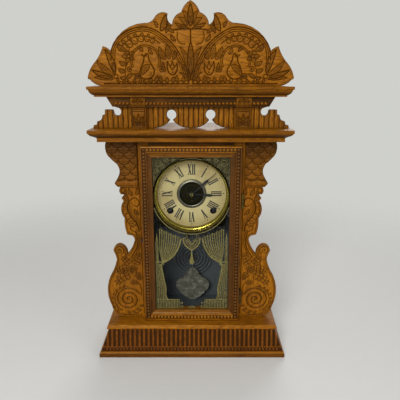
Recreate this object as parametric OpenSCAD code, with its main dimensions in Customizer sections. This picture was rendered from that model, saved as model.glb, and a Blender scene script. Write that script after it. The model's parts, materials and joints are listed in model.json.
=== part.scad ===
// Gingerbread kitchen clock: an oak shelf clock with a scrolled crest, a glazed door,
// an eight-day time and strike movement, a half-second pendulum and a coil gong.
// Millimetres, Z up, the front faces -Y, the foot stands on Z = 0.
// Depths named d are counted forward from the back plane of the case.

/* [Heights] */
// Height of the plinth board
plinth_h = 11; // [9:0.5:14]
// Height of the reeded apron
apron_h = 43; // [38:1:48]
// Thickness of the ledge, which is also the case floor
ledge_h = 9; // [8:0.5:11]
// Height of the case between ledge and shelf
case_h = 330; // [325:1:350]
// Thickness of the shelf cornice
shelf_h = 20; // [18:0.5:24]
// Height of the reeded frieze
frieze_h = 52; // [48:1:60]
// Thickness of the top cornice
cornice_h = 16; // [14:0.5:20]
// Height of the crest over the top cornice
crest_h = 129; // [110:1:145]

/* [Widths and depths] */
// Width of the plinth board
plinth_w = 338; // [330:1:360]
// Depth of the plinth board, the whole depth of the clock
plinth_d = 130; // [128:0.5:140]
// Width of the apron at its foot
apron_foot_w = 332; // [320:1:334]
// Width of the apron at its top
apron_top_w = 300; // [290:1:304]
// Rake of the apron front over its height
apron_rake = 9; // [5:0.5:12]
// Thickness of the apron boards
apron_t = 10; // [8:0.5:14]
// Width of the ledge
ledge_w = 307; // [305:1:325]
// Depth of the ledge
ledge_d = 126; // [122:0.5:129]
// Width over the case sides
case_w = 168; // [166:1:180]
// Thickness of the case sides
side_t = 8; // [6:0.5:9]
// Thickness of the back board
back_t = 6; // [4:0.5:8]
// Depth of the case behind the front boards
box_d = 84; // [83.6:0.2:88]
// Thickness of the front boards
front_t = 10; // [9:0.2:10.4]
// Width of the opening between the front boards
opening_w = 144; // [140:1:146]
// Reach of each fret from the opening edge to its belly
fret_w = 82.6; // [70:0.2:92]
// Reach of each scale bracket from its door edge
bracket_w = 53; // [45:0.5:60]
// Height of the scale brackets
bracket_h = 78.5; // [60:0.5:90]
// Thickness of the scale brackets
bracket_t = 8; // [5:0.5:9]
// Width of the shelf cornice
shelf_w = 332; // [325:1:345]
// Depth of the shelf cornice
shelf_d = 125; // [120:0.5:129]
// Width of the frieze board at its foot
frieze_w = 324.4; // [318:0.2:328]
// Width of the top cornice
cornice_w = 325; // [315:1:335]
// Depth of the top cornice, from its front towards the back
cornice_d = 64; // [50:1:80]
// Set-back of the top cornice from the plinth front
cornice_setback = 6; // [4:0.5:12]
// Width of the crest
crest_w = 332.4; // [310:0.2:345]
// Pitch of the reeds on apron and frieze
reed_pitch = 8.2; // [7:0.1:10]
// Relief of the reeds
reed_relief = 1.4; // [0.8:0.1:2]

/* [Door] */
// Width over the door
door_w = 170; // [164:0.5:172]
// Width of the door stiles and rails
stile_w = 19; // [18.4:0.2:22]
// Thickness of the door frame without its beads
door_t = 13; // [12:0.5:14]
// Gap between the door and the front boards
door_gap = 1; // [0.9:0.1:1.4]
// Gap under the door
door_foot_gap = 1; // [0.6:0.1:2]
// Gap over the door
door_head_gap = 8; // [6:0.5:12]
// Thickness of the glass
glass_t = 2; // [1.6:0.1:3]
// Overlap of the frame on the glass
glass_lap = 4; // [3:0.2:5]
// Pitch of the bead row on the door frame
bead_pitch = 6; // [5.6:0.1:8]
// Radius of the beads
bead_r = 2.6; // [2:0.1:2.7]
// Radius of the hinge knuckles
knuckle_r = 2.2; // [2:0.05:2.4]
// Height of each hinge
hinge_h = 24; // [20:1:30]
// Radius of the hinge pins
hinge_pin_r = 1.1; // [0.9:0.05:1.3]

/* [Dial and hands] */
// Drop of the dial centre below the shelf
dial_drop = 98; // [96:0.5:100]
// Radius of the paper dial
dial_r = 61.2; // [58:0.2:62]
// Depth of the dial face from the back
dial_d = 71; // [70.5:0.1:72]
// Radius of the bezel at its front edge
bezel_r = 66; // [65:0.1:68]
// Radius of the winding holes in the dial
wind_hole_r = 4.6; // [4:0.1:5.5]
// Outer radius of the centre ring
centre_ring_r = 26.4; // [25:0.2:29]
// Inner radius of the centre ring
centre_hole_r = 21.5; // [18:0.2:22]
// Width of the wooden rails that carry the dial
rail_w = 12; // [9:0.5:14]
// Height of the wooden rails that carry the dial
rail_h = 88; // [60:1:92]
// Length of the hour hand
hour_len = 40; // [34:0.5:46]
// Length of the minute hand
minute_len = 58; // [50:0.5:59]

/* [Movement] */
// Half width of the movement plates
plate_half_w = 62; // [61:0.5:63]
// Reach of the plates below the dial centre
plate_down = 64; // [63:0.5:68]
// Reach of the plates above the dial centre
plate_up = 58; // [57:0.5:62]
// Thickness of the plates
plate_t = 1.5; // [1.2:0.1:1.8]
// Radius of the plate pillars
pillar_r = 3; // [2.4:0.1:3.4]
// Sideways offset of the winding arbors
wind_x = 38.6; // [38.4:0.1:39]
// Drop of the winding arbors below the dial centre
wind_drop = 31.5; // [31.3:0.1:32]
// Running clearance of pivots and bores
running = 0.05; // [0.03:0.01:0.08]
// Length of the pendulum from its pivot to the bob centre
pendulum_len = 248; // [244:0.5:249]
// Width of the bob
bob_w = 66; // [56:1:72]
// Height of the bob
bob_h = 68; // [56:1:69]
// Wire radius of the gong
gong_wire_r = 1.3; // [1:0.05:1.5]
// Radius of the gong coil
gong_r = 38; // [34:0.5:40]
// Loops of the gong coil
gong_loops = 5; // [4:0.5:6]

/* [Hidden] */
$fn = 32;
z_apron = plinth_h;
z_ledge = z_apron + apron_h;
z_case = z_ledge + ledge_h;
z_shelf = z_case + case_h;
z_frieze = z_shelf + shelf_h;
z_cornice = z_frieze + frieze_h;
z_crest = z_cornice + cornice_h;
front_d = box_d + front_t;
door_d = front_d + door_gap;
door_z0 = z_case + door_foot_gap;
door_z1 = z_shelf - door_head_gap;
door_h = door_z1 - door_z0;
sight_x = door_w / 2 - stile_w;
dial_z = z_shelf - dial_drop;
pan_t = 1;
rail_gap = 1;
paper_t = 0.4;
face_d = dial_d + paper_t;
bezel_front_d = front_d + 0.5;
cornice_front_d = plinth_d - cornice_setback;
cornice_back_d = cornice_front_d - cornice_d;
strip_t = 10;

// Depths of the movement, counted back from the dial face
front_plate_d = dial_d - 9;
back_plate_d = front_plate_d - 28.5;
plate_front = front_plate_d + plate_t;
plate_back = back_plate_d + plate_t;
rod_d = back_plate_d - 6.5;

// Wheel counts and pitch modules of the meshes, tooth counts of wheels and pinions
great_m = 0.7;
great_n = 72;
second_pinion_n = 12;
second_n = 48;
centre_pinion_n = 12;
centre_m = 0.5;
centre_n = 72;
third_pinion_n = 6;
third_m = 0.45;
third_n = 60;
escape_pinion_n = 6;
pin_pinion_n = 8;
pin_n = 48;
pin_m = 0.5;
fly_pinion_n = 8;
escape_n = 30;
escape_r = 12.5;
cannon_n = 12;
minute_n = 36;
minute_m = 0.5;
minute_pinion_n = 10;
hour_n = 40;
motion_gap = (cannon_n + minute_n) * minute_m / 2;
hour_m = 2 * motion_gap / (minute_pinion_n + hour_n);

function Y(d) = plinth_d / 2 - d;
function mesh_gap(a, b, m) = (a + b) * m / 2;
function bearing(a, b) = atan2(b[1] - a[1], b[0] - a[0]);
// Third corner of a triangle on the base a-b with the sides ra from a and rb from b
function corner(a, b, ra, rb, side) =
    let (
        l = norm(b - a),
        u = (b - a) / l,
        p = (ra * ra - rb * rb + l * l) / (2 * l),
        h = sqrt(max(0, ra * ra - p * p))
    )
    a + u * p + side * h * [-u[1], u[0]];

centre = [0, 0];
great = [wind_x, -wind_drop];
great_gap = mesh_gap(great_n, second_pinion_n, great_m);
centre_gap = mesh_gap(second_n, centre_pinion_n, great_m);
second = corner(centre, great, centre_gap, great_gap, 1);
escape = [0, 33];
third_gap = mesh_gap(centre_n, third_pinion_n, centre_m);
escape_gap = mesh_gap(third_n, escape_pinion_n, third_m);
third = corner(centre, escape, third_gap, escape_gap, -1);
verge_at = [0, 51];
great_s = [-great[0], great[1]];
second_s = [-second[0], second[1]];
pin_gap = mesh_gap(second_n, pin_pinion_n, great_m);
pin_at = second_s + pin_gap * [cos(124.8), sin(124.8)];
fly_gap = mesh_gap(pin_n, fly_pinion_n, pin_m);
fly_at = pin_at + fly_gap * [cos(72), sin(72)];
hammer_at = [-48, 8];
minute_at = motion_gap * [cos(-60), sin(-60)];
pillar_low = [plate_half_w - 5, 6 - plate_down];
pillar_high = [plate_half_w - 8, plate_up - 8];
pillars_at = [for (s = [-1, 1]) each [[s * pillar_low[0], pillar_low[1]], [s * pillar_high[0],
    pillar_high[1]]]];
pivot_z = dial_z + verge_at[1];
bob_z = pivot_z - pendulum_len;
gong_z = bob_z + 52;
gong_plane_d = back_t + 8;

// Points of a circular arc from a to b, s is its rise over its chord, left of the way positive
function arc(a, b, s, n) =
    s == 0 ? [a] :
    let (
        c = b - a,
        l = norm(c),
        t = c / l,
        q = [-t[1], t[0]],
        h = s * l,
        r = (l * l / 4 + h * h) / (2 * abs(h)),
        g = sign(s),
        w = 4 * atan(2 * abs(s)),
        o = (a + b) / 2 + q * (h - g * r)
    )
    [for (i = [0 : n - 1]) let (f = w * (i / n - 0.5)) o + g * r * cos(f) * q + r * sin(f) * t];
// Outline through corners [x, z, rise of the arc to the next corner]
function outline(v) =
    [for (i = [0 : len(v) - 1])
        let (a = v[i], b = v[(i + 1) % len(v)])
        each arc([a[0], a[1]], [b[0], b[1]], a[2], 6)];
// Right-hand points joined to their mirror images on the left
function whole(v) = concat(v, [for (i = [len(v) - 1 : -1 : 0]) if (v[i][0] > 0.001) [-v[i][0], v[i][1]]]);
// The same corners stretched by kx and kz and moved to x0, z0
function fitted(v, kx, kz, x0, z0) = [for (p = v) [x0 + p[0] * kx, z0 + p[1] * kz, p[2]]];

// Front outline held between the depths d0 and d1
module slab(d0, d1) {
    translate([0, Y(d0), 0])
        rotate([90, 0, 0])
            linear_extrude(d1 - d0)
                children();
}
// Side profile (depth, height) run across from x0 to x1
module across(x0, x1) {
    translate([x1, Y(0), 0])
        rotate([90, 0, -90])
            linear_extrude(x1 - x0)
                children();
}
module board(x0, x1, d0, d1, z0, z1) {
    translate([x0, Y(d1), z0])
        cube([x1 - x0, d1 - d0, z1 - z0]);
}
module both_sides() {
    children();
    mirror([1, 0, 0])
        children();
}
// Round bar along the depth at p, measured from the dial centre
module rod(p, d0, d1, r) {
    translate([p[0], Y(d0), dial_z + p[1]])
        rotate([90, 0, 0])
            cylinder(h = d1 - d0, r = r);
}
// Front outline at p between d0 and d1, turned by a
module plate_at(p, d0, d1, a = 0) {
    translate([p[0], Y(d0), dial_z + p[1]])
        rotate([90, 0, 0])
            linear_extrude(d1 - d0)
                rotate(a)
                    children();
}

// Moulded board with returns: a side profile met by the same profile seen from the front
module moulded(w, d0, d1, z0, h, prof) {
    intersection() {
        across(-w / 2, w / 2)
            polygon(concat([[d0, z0]], [for (p = prof) [d1 - p[0], z0 + p[1] * h]], [[d0, z0 + h]]));
        slab(d0, d1)
            polygon(concat([for (p = prof) [w / 2 - p[0], z0 + p[1] * h]],
                [for (i = [len(prof) - 1 : -1 : 0]) [prof[i][0] - w / 2, z0 + prof[i][1] * h]]));
    }
}
// Row of round reeds along x seen from above, half widths w, with the crests on y = 0
function reeds(w, n) =
    let (p = 2 * w / n)
    [for (i = [0 : n - 1]) for (k = [0 : 5])
        [-w + p * (i + k / 6), reed_relief * (1 - sin(180 * k / 6))]];

module base_plinth() {
    color("saddlebrown")
        moulded(plinth_w, 0, plinth_d, 0, plinth_h,
            [[0.8, 0], [0, 0.1], [0, 0.5], [0.6, 0.75], [1.8, 0.92], [3, 1]]);
}

apron_foot_d = plinth_d - 2;
apron_top_d = apron_foot_d - apron_rake;
module base_apron() {
    n = round(apron_foot_w / reed_pitch);
    lean = atan(apron_rake / apron_h);
    color("sienna")
        intersection() {
            across(-apron_foot_w / 2, apron_foot_w / 2)
                polygon([[apron_foot_d - apron_t, z_apron], [apron_foot_d, z_apron],
                    [apron_top_d, z_ledge], [apron_top_d - apron_t, z_ledge]]);
            slab(0, plinth_d)
                polygon([[-apron_foot_w / 2, z_apron], [apron_foot_w / 2, z_apron],
                    [apron_top_w / 2, z_ledge], [-apron_top_w / 2, z_ledge]]);
            translate([0, Y(apron_foot_d), z_apron])
                rotate([-lean, 0, 0])
                    translate([0, 0, -apron_h / 2])
                        linear_extrude(2 * apron_h)
                            polygon(concat(reeds(apron_foot_w / 2, n),
                                [[apron_foot_w / 2, 0], [apron_foot_w / 2, 2 * apron_t],
                                    [-apron_foot_w / 2, 2 * apron_t]]));
        }
}
module base_ends() {
    color("sienna")
        both_sides()
            intersection() {
                slab(0, apron_foot_d)
                    polygon([[apron_foot_w / 2 - apron_t, z_apron], [apron_foot_w / 2, z_apron],
                        [apron_top_w / 2, z_ledge], [apron_top_w / 2 - apron_t, z_ledge]]);
                across(0, apron_foot_w / 2)
                    polygon([[0, z_apron], [apron_foot_d - apron_t, z_apron],
                        [apron_top_d - apron_t, z_ledge], [0, z_ledge]]);
            }
}
module base_ledge() {
    color("peru")
        moulded(ledge_w, 0, ledge_d, z_ledge, ledge_h,
            [[4, 0], [1.2, 0.2], [0, 0.38], [0.4, 0.6], [3, 1]]);
}

module case_sides() {
    color("sienna")
        both_sides()
            board(case_w / 2 - side_t, case_w / 2, back_t, box_d, z_case, z_shelf);
}
module case_top() {
    color("sienna")
        board(side_t - case_w / 2, case_w / 2 - side_t, back_t, box_d, z_shelf - 8, z_shelf);
}
module case_back() {
    color("saddlebrown")
        board(-case_w / 2, case_w / 2, 0, back_t, z_case, z_shelf);
}
module front_cross_rails() {
    color("peru") {
        board(-opening_w / 2, opening_w / 2, box_d, front_d, z_case, door_z0 + stile_w - 3);
        board(-opening_w / 2, opening_w / 2, box_d, front_d, door_z1 - stile_w + 2, z_shelf);
    }
}

// Right fret, drawn from the opening edge and the ledge at 82.6 wide and 330 high
fret_draw = [
    [0, 330, 0], [45, 330, 0], [45, 252, 0], [50.5, 249, 0.2], [49.5, 236.4, -0.05], [44.3, 235.8, 0],
    [49.3, 229.7, 0], [46, 224.9, 0.157], [45.6, 193.2, 0.05], [42.2, 163, 0], [34, 160.8, -0.22],
    [30.6, 149, -0.06], [43.3, 125.1, 0.16], [55, 144, 0.22], [68.2, 131.8, -0.045], [63, 115.4, -0.045],
    [76.4, 82.5, 0.104], [76.2, 21.9, 0.12], [61, 0, 0], [0, 0, 0]
];
module right_fret() {
    color("peru")
        slab(box_d, front_d)
            polygon(outline(fitted(fret_draw, fret_w / 82.6, case_h / 330, opening_w / 2, z_case)));
}
module left_fret() {
    color("peru")
        mirror([1, 0, 0])
            slab(box_d, front_d)
                polygon(outline(fitted(fret_draw, fret_w / 82.6, case_h / 330, opening_w / 2, z_case)));
}

// Right scale bracket, drawn from its door edge and its foot at 53 wide and 78.5 high
bracket_draw = [
    [0, 78.5, 0], [50.4, 78.5, 0.14], [47.6, 52.3, 0.02], [34.9, 40, -0.15], [32.6, 19.2, -0.02],
    [39.9, 7, 0.1], [34, 0, 0], [0, 0, 0]
];
bracket_x = door_w / 2 + 5.5;
module scale_brackets() {
    color("peru")
        both_sides()
            slab(front_d, front_d + bracket_t)
                polygon(outline(fitted(bracket_draw, bracket_w / 53, bracket_h / 78.5,
                    bracket_x, z_shelf - bracket_h)));
}

module shelf_cornice() {
    color("sienna")
        moulded(shelf_w, 0, shelf_d, z_shelf, shelf_h,
            [[12.5, 0], [12.5, 0.33], [10.4, 0.38], [8.6, 0.44], [5, 0.52], [2.4, 0.62], [1.4, 0.72],
                [0, 0.74], [0, 1]]);
}

// Right half of the frieze board, drawn from the middle and the shelf at 162.2 wide and 52 high
frieze_draw = [
    [136.5, 52, 0], [127, 36, 0], [121.3, 33.9, -0.5], [121.3, 20.9, -0.207], [127.8, 27.4, 0],
    [128.9, 30.5, 0], [141.5, 30.5, 0], [142, 22.7, 0], [146.3, 21.6, -0.1], [149.8, 13.1, 0],
    [155.3, 11.3, 0], [156.3, 5.9, 0], [161.8, 4.8, 0], [162.2, 0, 0]
];
// Keyhole flare, drawn from its own middle line
flare_draw = [
    [-29.5, -1, 0], [-29.5, 0.8, -0.12], [-2.8, 13, 0], [-2.8, 18, 0], [2.8, 18, 0], [2.8, 13, -0.12],
    [29.5, 0.8, 0], [29.5, -1, 0]
];
keyhole_x = 32.3;
keyhole_r = 8;
frieze_d = box_d;
frieze_front_d = front_d;
module frieze_board() {
    n = round(frieze_w / reed_pitch);
    kx = frieze_w / 324.4;
    kz = frieze_h / 52;
    color("peru")
        difference() {
            intersection() {
                slab(frieze_d, frieze_front_d)
                    polygon(whole(outline(fitted(frieze_draw, kx, kz, 0, z_frieze))));
                translate([0, Y(frieze_front_d), z_frieze])
                    linear_extrude(frieze_h)
                        polygon(concat(reeds(frieze_w / 2 + 1, n),
                            [[frieze_w / 2 + 1, 0], [frieze_w / 2 + 1, 2 * front_t],
                                [-frieze_w / 2 - 1, 2 * front_t]]));
            }
            for (s = [-1, 1])
                slab(frieze_d - 1, frieze_front_d + 1)
                    translate([s * keyhole_x, z_frieze])
                        union() {
                            polygon(outline(flare_draw));
                            translate([0, 0.43 * frieze_h])
                                circle(r = keyhole_r);
                        }
        }
}
block_x = 85.5;
block_w = 25;
strip_z0 = 36 * frieze_h / 52;
module frieze_blocks() {
    color("peru")
        both_sides() {
            board(block_x - block_w / 2, block_x + block_w / 2, frieze_front_d, frieze_front_d + 7,
                z_frieze, z_frieze + strip_z0);
            board(block_x - block_w / 2, block_x + block_w / 2, cornice_back_d + 4, frieze_d, z_frieze,
                z_cornice);
        }
}
module bead_strip() {
    kx = frieze_w / 324.4;
    n = floor(2 * 126 * kx / 6.2);
    p = 2 * 126 * kx / n;
    d = frieze_front_d + strip_t;
    color("peru") {
        slab(frieze_front_d, d)
            polygon([[-126.8 * kx, z_frieze + strip_z0], [126.8 * kx, z_frieze + strip_z0],
                [136.3 * kx, z_cornice], [-136.3 * kx, z_cornice]]);
        translate([0, Y(d) + 0.5, z_frieze + strip_z0 + 2])
            linear_extrude(6)
                polygon([for (i = [0 : n - 1]) for (k = [0 : 5])
                    let (a = 180 - 36 * k) [-126 * kx + p * (i + 0.5) + 0.46 * p * cos(a),
                        -0.46 * p * sin(a)]]);
    }
}
module top_cornice() {
    color("sienna")
        moulded(cornice_w, cornice_back_d, cornice_front_d, z_cornice, cornice_h,
            [[9.5, 0], [9.5, 0.14], [7.4, 0.2], [4.6, 0.34], [2.8, 0.52], [2.2, 0.68], [0, 0.72], [0, 1]]);
}

// Right half of the crest, drawn from the middle and the cornice at 166.2 wide and 129 high
crest_draw = [
    [0, 129, 0.1], [14.5, 111.6, 0.16], [29, 93.4, -0.18], [36.1, 110, 0.2], [56.8, 103.1, -0.14],
    [72, 96, 0.157], [128.1, 54.1, 0.107], [139.5, 61.4, -0.055], [153.7, 37, 0.07], [166.2, 13.5, 0.25],
    [163, 10.5, 0.1], [144, 0, 0]
];
module crest() {
    kx = crest_w / 332.4;
    kz = crest_h / 129;
    color("peru")
        slab(box_d, front_d)
            polygon(whole(outline(fitted(crest_draw, kx, kz, 0, z_crest))));
}

// Door bar of length l on the x axis: outer edge at z = 0, mitred at both ends
rabbet_t = glass_t + 4;
module door_bar(l) {
    n = floor((l - 8) / bead_pitch);
    w = stile_w;
    bead_top = door_d + door_t - 2;
    intersection() {
        union() {
            across(-l / 2, l / 2)
                polygon([[door_d, 0], [door_d + door_t - 1, 0], [door_d + door_t, 1], [door_d + door_t,
                    2.4],
                    [door_d + door_t - 2, 3], [door_d + door_t - 2, 9], [door_d + door_t - 0.4, 9.4],
                    [door_d + door_t - 0.4, 10.4], [door_d + door_t - 2.4, 11.6], [door_d + door_t - 3.6,
                        13.2],
                    [door_d + door_t - 4.2, 15], [door_d + door_t - 4.2, 15.6], [door_d + door_t - 3.4, 16],
                    [door_d + door_t - 3.4, w - 0.6], [door_d + door_t - 4, w], [door_d + rabbet_t, w],
                    [door_d + rabbet_t, w - glass_lap], [door_d, w - glass_lap]]);
            translate([0, Y(bead_top), 3])
                linear_extrude(6)
                    polygon(concat([for (i = [0 : n - 1]) for (k = [0 : 5])
                        let (a = 180 - 36 * k)
                        [(i - (n - 1) / 2) * bead_pitch + bead_r * cos(a), -bead_r * sin(a)]],
                        [[n * bead_pitch / 2, 1], [-n * bead_pitch / 2, 1]]));
        }
        slab(door_d, door_d + 2 * door_t)
            polygon([[-l / 2, 0], [l / 2, 0], [l / 2 - w, w], [w - l / 2, w]]);
    }
}
module door_bottom_rail() {
    color("brown")
        translate([0, 0, door_z0])
            door_bar(door_w);
}
module door_top_rail() {
    color("brown")
        translate([0, 0, door_z1])
            rotate([0, 180, 0])
                door_bar(door_w);
}
module door_left_stile() {
    color("brown")
        translate([-door_w / 2, 0, door_z0 + door_h / 2])
            rotate([0, 90, 0])
                door_bar(door_h);
}
module door_right_stile() {
    color("brown")
        translate([door_w / 2, 0, door_z0 + door_h / 2])
            rotate([0, -90, 0])
                door_bar(door_h);
}
glass_play = 0.3;
glass_x = sight_x + glass_lap - glass_play;
glass_z0 = door_z0 + stile_w - glass_lap + glass_play;
glass_z1 = door_z1 - stile_w + glass_lap - glass_play;
glass_d = door_d + rabbet_t - glass_t;
module door_glass() {
    color("lightsteelblue", 0.3)
        board(-glass_x, glass_x, glass_d, glass_d + glass_t, glass_z0, glass_z1);
}
module glass_beads() {
    b = glass_lap - glass_play;
    d0 = door_d + 0.4;
    color("brown") {
        for (x = [-glass_x, glass_x - b])
            board(x, x + b, d0, glass_d, glass_z0, glass_z1);
        for (z = [glass_z0, glass_z1 - b])
            board(b - glass_x, glass_x - b, d0, glass_d, z, z + b);
    }
}

// Hinges on the right of the door, three knuckles each, the middle one on the door
hinge_x = door_w / 2 + knuckle_r + 0.2;
hinge_d = door_d + 10;
hinge_zs = [door_z0 + 34, door_z0 + 214];
leaf_t = 0.8;
knuckle_h = hinge_h / 3;
knuckle_gap = 0.15;
module knuckle(z0, z1) {
    translate([hinge_x, Y(hinge_d), z0])
        difference() {
            cylinder(h = z1 - z0, r = knuckle_r);
            translate([0, 0, -1])
                cylinder(h = z1 - z0 + 2, r = hinge_pin_r + running);
        }
}
module hinge_case_leaves() {
    color("darkgoldenrod")
        for (z = hinge_zs) {
            difference() {
                union() {
                    board(hinge_x - 8, hinge_x + 0.5, front_d, front_d + leaf_t, z, z + hinge_h);
                    board(hinge_x - 0.5, hinge_x + 0.5, front_d, hinge_d - hinge_pin_r - 0.4, z,
                        z + hinge_h);
                }
                board(hinge_x - 3, hinge_x + 3, hinge_d - knuckle_r - 0.3, hinge_d + 3,
                    z + knuckle_h - knuckle_gap, z + 2 * knuckle_h + knuckle_gap);
            }
            knuckle(z, z + knuckle_h - knuckle_gap);
            knuckle(z + 2 * knuckle_h + knuckle_gap, z + hinge_h);
        }
}
module hinge_door_leaves() {
    color("darkgoldenrod")
        for (z = hinge_zs) {
            difference() {
                board(door_w / 2, door_w / 2 + leaf_t, hinge_d - 8, hinge_d + 0.4,
                    z + knuckle_h + knuckle_gap, z + 2 * knuckle_h - knuckle_gap);
                translate([hinge_x, Y(hinge_d), z])
                    cylinder(h = hinge_h, r = knuckle_r - 0.2);
            }
            knuckle(z + knuckle_h + knuckle_gap, z + 2 * knuckle_h - knuckle_gap);
        }
}
module hinge_pins() {
    color("goldenrod")
        for (z = hinge_zs)
            translate([hinge_x, Y(hinge_d), z - 0.8]) {
                cylinder(h = hinge_h + 1.6, r = hinge_pin_r);
                translate([0, 0, hinge_h + 0.9])
                    cylinder(h = 1.2, r = knuckle_r - 0.3);
            }
}
pull_z = door_z0 + 155;
module door_pull() {
    color("black")
        board(-door_w / 2 - 2.6, -door_w / 2, door_d + 4, door_d + 12, pull_z - 3.4, pull_z + 3.4);
}

module dial_holes(r) {
    circle(r = centre_hole_r + 0.4);
    for (s = [-1, 1])
        translate([s * wind_x, -wind_drop])
            circle(r = r);
}
rail_x1 = case_w / 2 - side_t;
rail_x0 = rail_x1 - rail_w;
tab_x = (rail_x0 + rail_x1) / 2;
screw_r = 1.2;
screw_head_r = screw_r + 1.2;
bezel_foot_r = dial_r + 3;
tab_gap = 0.8;
// Height of the dial screws over the dial centre: level with it where the bezel leaves room on the rails
tab_z = sqrt(max(0, pow(bezel_foot_r + screw_head_r + tab_gap, 2) - pow(tab_x, 2)));
module dial_pan() {
    color("darkgoldenrod")
        plate_at(centre, dial_d - pan_t, dial_d)
            difference() {
                union() {
                    circle(r = dial_r + 3.4);
                    translate([0, tab_z])
                        square([2 * tab_x + 7, 14], center = true);
                }
                dial_holes(wind_hole_r);
                for (s = [-1, 1])
                    translate([s * tab_x, tab_z])
                        circle(r = screw_r + running);
            }
}
module dial_paper() {
    color("wheat")
        plate_at(centre, dial_d, face_d)
            difference() {
                circle(r = dial_r);
                dial_holes(wind_hole_r);
            }
}
module dial_bezel() {
    h = bezel_front_d - dial_d;
    k = bezel_r;
    color("gold")
        translate([0, Y(dial_d), dial_z])
            rotate([90, 0, 0])
                rotate_extrude($fn = 72)
                    polygon([[dial_r + 0.1, 0], [dial_r + 2.6, 0], [bezel_foot_r, 0.4 * h], [k - 0.6, h - 5],
                        [k, h - 2], [k - 0.4, h - 0.4], [k - 1.2, h], [k - 2, h - 0.6], [k - 2.8, h - 3],
                        [dial_r + 1.6, 0.5 * h], [dial_r + 1, 0.42 * h], [dial_r + 0.5, 0.4 * h]]);
}
module dial_centre_ring() {
    color("gold")
        translate([0, Y(face_d), dial_z])
            rotate([90, 0, 0])
                rotate_extrude($fn = 48)
                    polygon([[centre_hole_r, 0], [centre_ring_r, 0], [centre_ring_r, 0.5],
                        [centre_ring_r - 0.8, 1.3],
                        [centre_ring_r - 2, 1.5], [centre_hole_r + 0.8, 2.1], [centre_hole_r, 1.8]]);
}
module dial_rails() {
    color("sienna")
        both_sides()
            difference() {
                board(rail_x0, rail_x1, plate_front + rail_gap, dial_d - pan_t, dial_z - rail_h / 2,
                    dial_z + rail_h / 2);
                rod([tab_x, tab_z], plate_front, dial_d, screw_r + running);
            }
}
module screws_and_nuts() {
    color("goldenrod") {
        for (s = [-1, 1]) {
            rod([s * tab_x, tab_z], dial_d - pan_t - 4, dial_d + 0.3, screw_r);
            rod([s * tab_x, tab_z], dial_d, dial_d + 1.4, screw_head_r);
        }
        for (p = pillars_at)
            difference() {
                plate_at(p, plate_front, plate_front + 2.4)
                    circle(r = 3.2, $fn = 6);
                rod(p, plate_front - 1, plate_front + 4, 1.5 + running);
            }
    }
}

// Pivots of the front plate and of the back plate: place and radius
front_pivots = [[centre, 1.5], [great, 2.6], [great_s, 2.6], [second, 0.8], [second_s, 0.8], [third, 0.6],
    [escape, 0.6], [verge_at, 0.8], [pin_at, 0.7], [fly_at, 0.6], [hammer_at, 1]];
back_pivots = [[centre, 1], [great, 2.2], [great_s, 2.2], [second, 0.8], [second_s, 0.8], [third, 0.6],
    [escape, 0.6], [verge_at, 1], [pin_at, 0.7], [fly_at, 0.6], [hammer_at, 1.5]];
module plate_shape(pivots, stud) {
    difference() {
        polygon(outline([[-plate_half_w, 8 - plate_down, -0.2], [8 - plate_half_w, -plate_down, 0],
            [plate_half_w - 8, -plate_down, -0.2], [plate_half_w, 8 - plate_down, 0], [plate_half_w, -8,
                0.1],
            [plate_half_w, plate_up - 14, -0.2], [plate_half_w - 6, plate_up, 0],
            [6 - plate_half_w, plate_up, -0.2], [-plate_half_w, plate_up - 14, 0.1],
            [-plate_half_w, -8, 0]]));
        for (p = pivots)
            translate(p[0])
                circle(r = p[1] + running);
        for (p = pillars_at)
            translate(p)
                circle(r = stud + running);
        translate([0, -44])
            circle(r = 11);
    }
}
module front_plate() {
    color("goldenrod") {
        plate_at(centre, front_plate_d, plate_front)
            plate_shape(front_pivots, 1.5);
        rod(minute_at, front_plate_d + 0.2, plate_front + 4.6, 1);
    }
}
cock_z = dial_z + verge_at[1] + 3;
module back_plate() {
    color("goldenrod")
        difference() {
            union() {
                plate_at(centre, back_plate_d, plate_back)
                    plate_shape(back_pivots, 2);
                board(-4, 4, rod_d - 2, back_plate_d, cock_z, cock_z + 4);
            }
            board(-1, 1, rod_d - 3, rod_d + 2.4, cock_z - 1, cock_z + 3);
        }
}
module pillars() {
    color("goldenrod")
        for (p = pillars_at) {
            rod(p, back_t, back_plate_d, pillar_r);
            rod(p, back_plate_d - 0.5, plate_back + 0.5, 2);
            rod(p, plate_back, front_plate_d, pillar_r);
            rod(p, front_plate_d - 0.5, plate_front + 3.2, 1.5);
        }
}

// Clock wheel with n teeth of module m, with arms left between its crossings
function teeth(n, m, add) =
    let (r = n * m / 2, k = 180 * m / r)
    [for (i = [0 : n - 1]) for (q = [[-0.9, -0.21], [add, -0.11], [add, 0.11], [-0.9, 0.21]])
        let (a = 360 * i / n + q[1] * k) (r + q[0] * m) * [cos(a), sin(a)]];
module crossings(ri, ro, arms, w) {
    for (i = [0 : arms - 1]) {
        a0 = 360 * i / arms + asin(w / ri);
        a1 = 360 * (i + 1) / arms - asin(w / ri);
        b0 = 360 * i / arms + asin(w / ro);
        b1 = 360 * (i + 1) / arms - asin(w / ro);
        polygon(concat([for (k = [0 : 6]) ri * [cos(a0 + (a1 - a0) * k / 6), sin(a0 + (a1 - a0) * k / 6)]],
            [for (k = [6 : -1 : 0]) ro * [cos(b0 + (b1 - b0) * k / 6), sin(b0 + (b1 - b0) * k / 6)]]));
    }
}
module wheel(p, d0, d1, n, m, turn, arms, hub, rim, bore = 0) {
    plate_at(p, d0, d1, turn)
        difference() {
            polygon(teeth(n, m, 0.6));
            crossings(hub, n * m / 2 - rim, arms, 1.2);
            if (bore > 0)
                circle(r = bore);
        }
}
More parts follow.
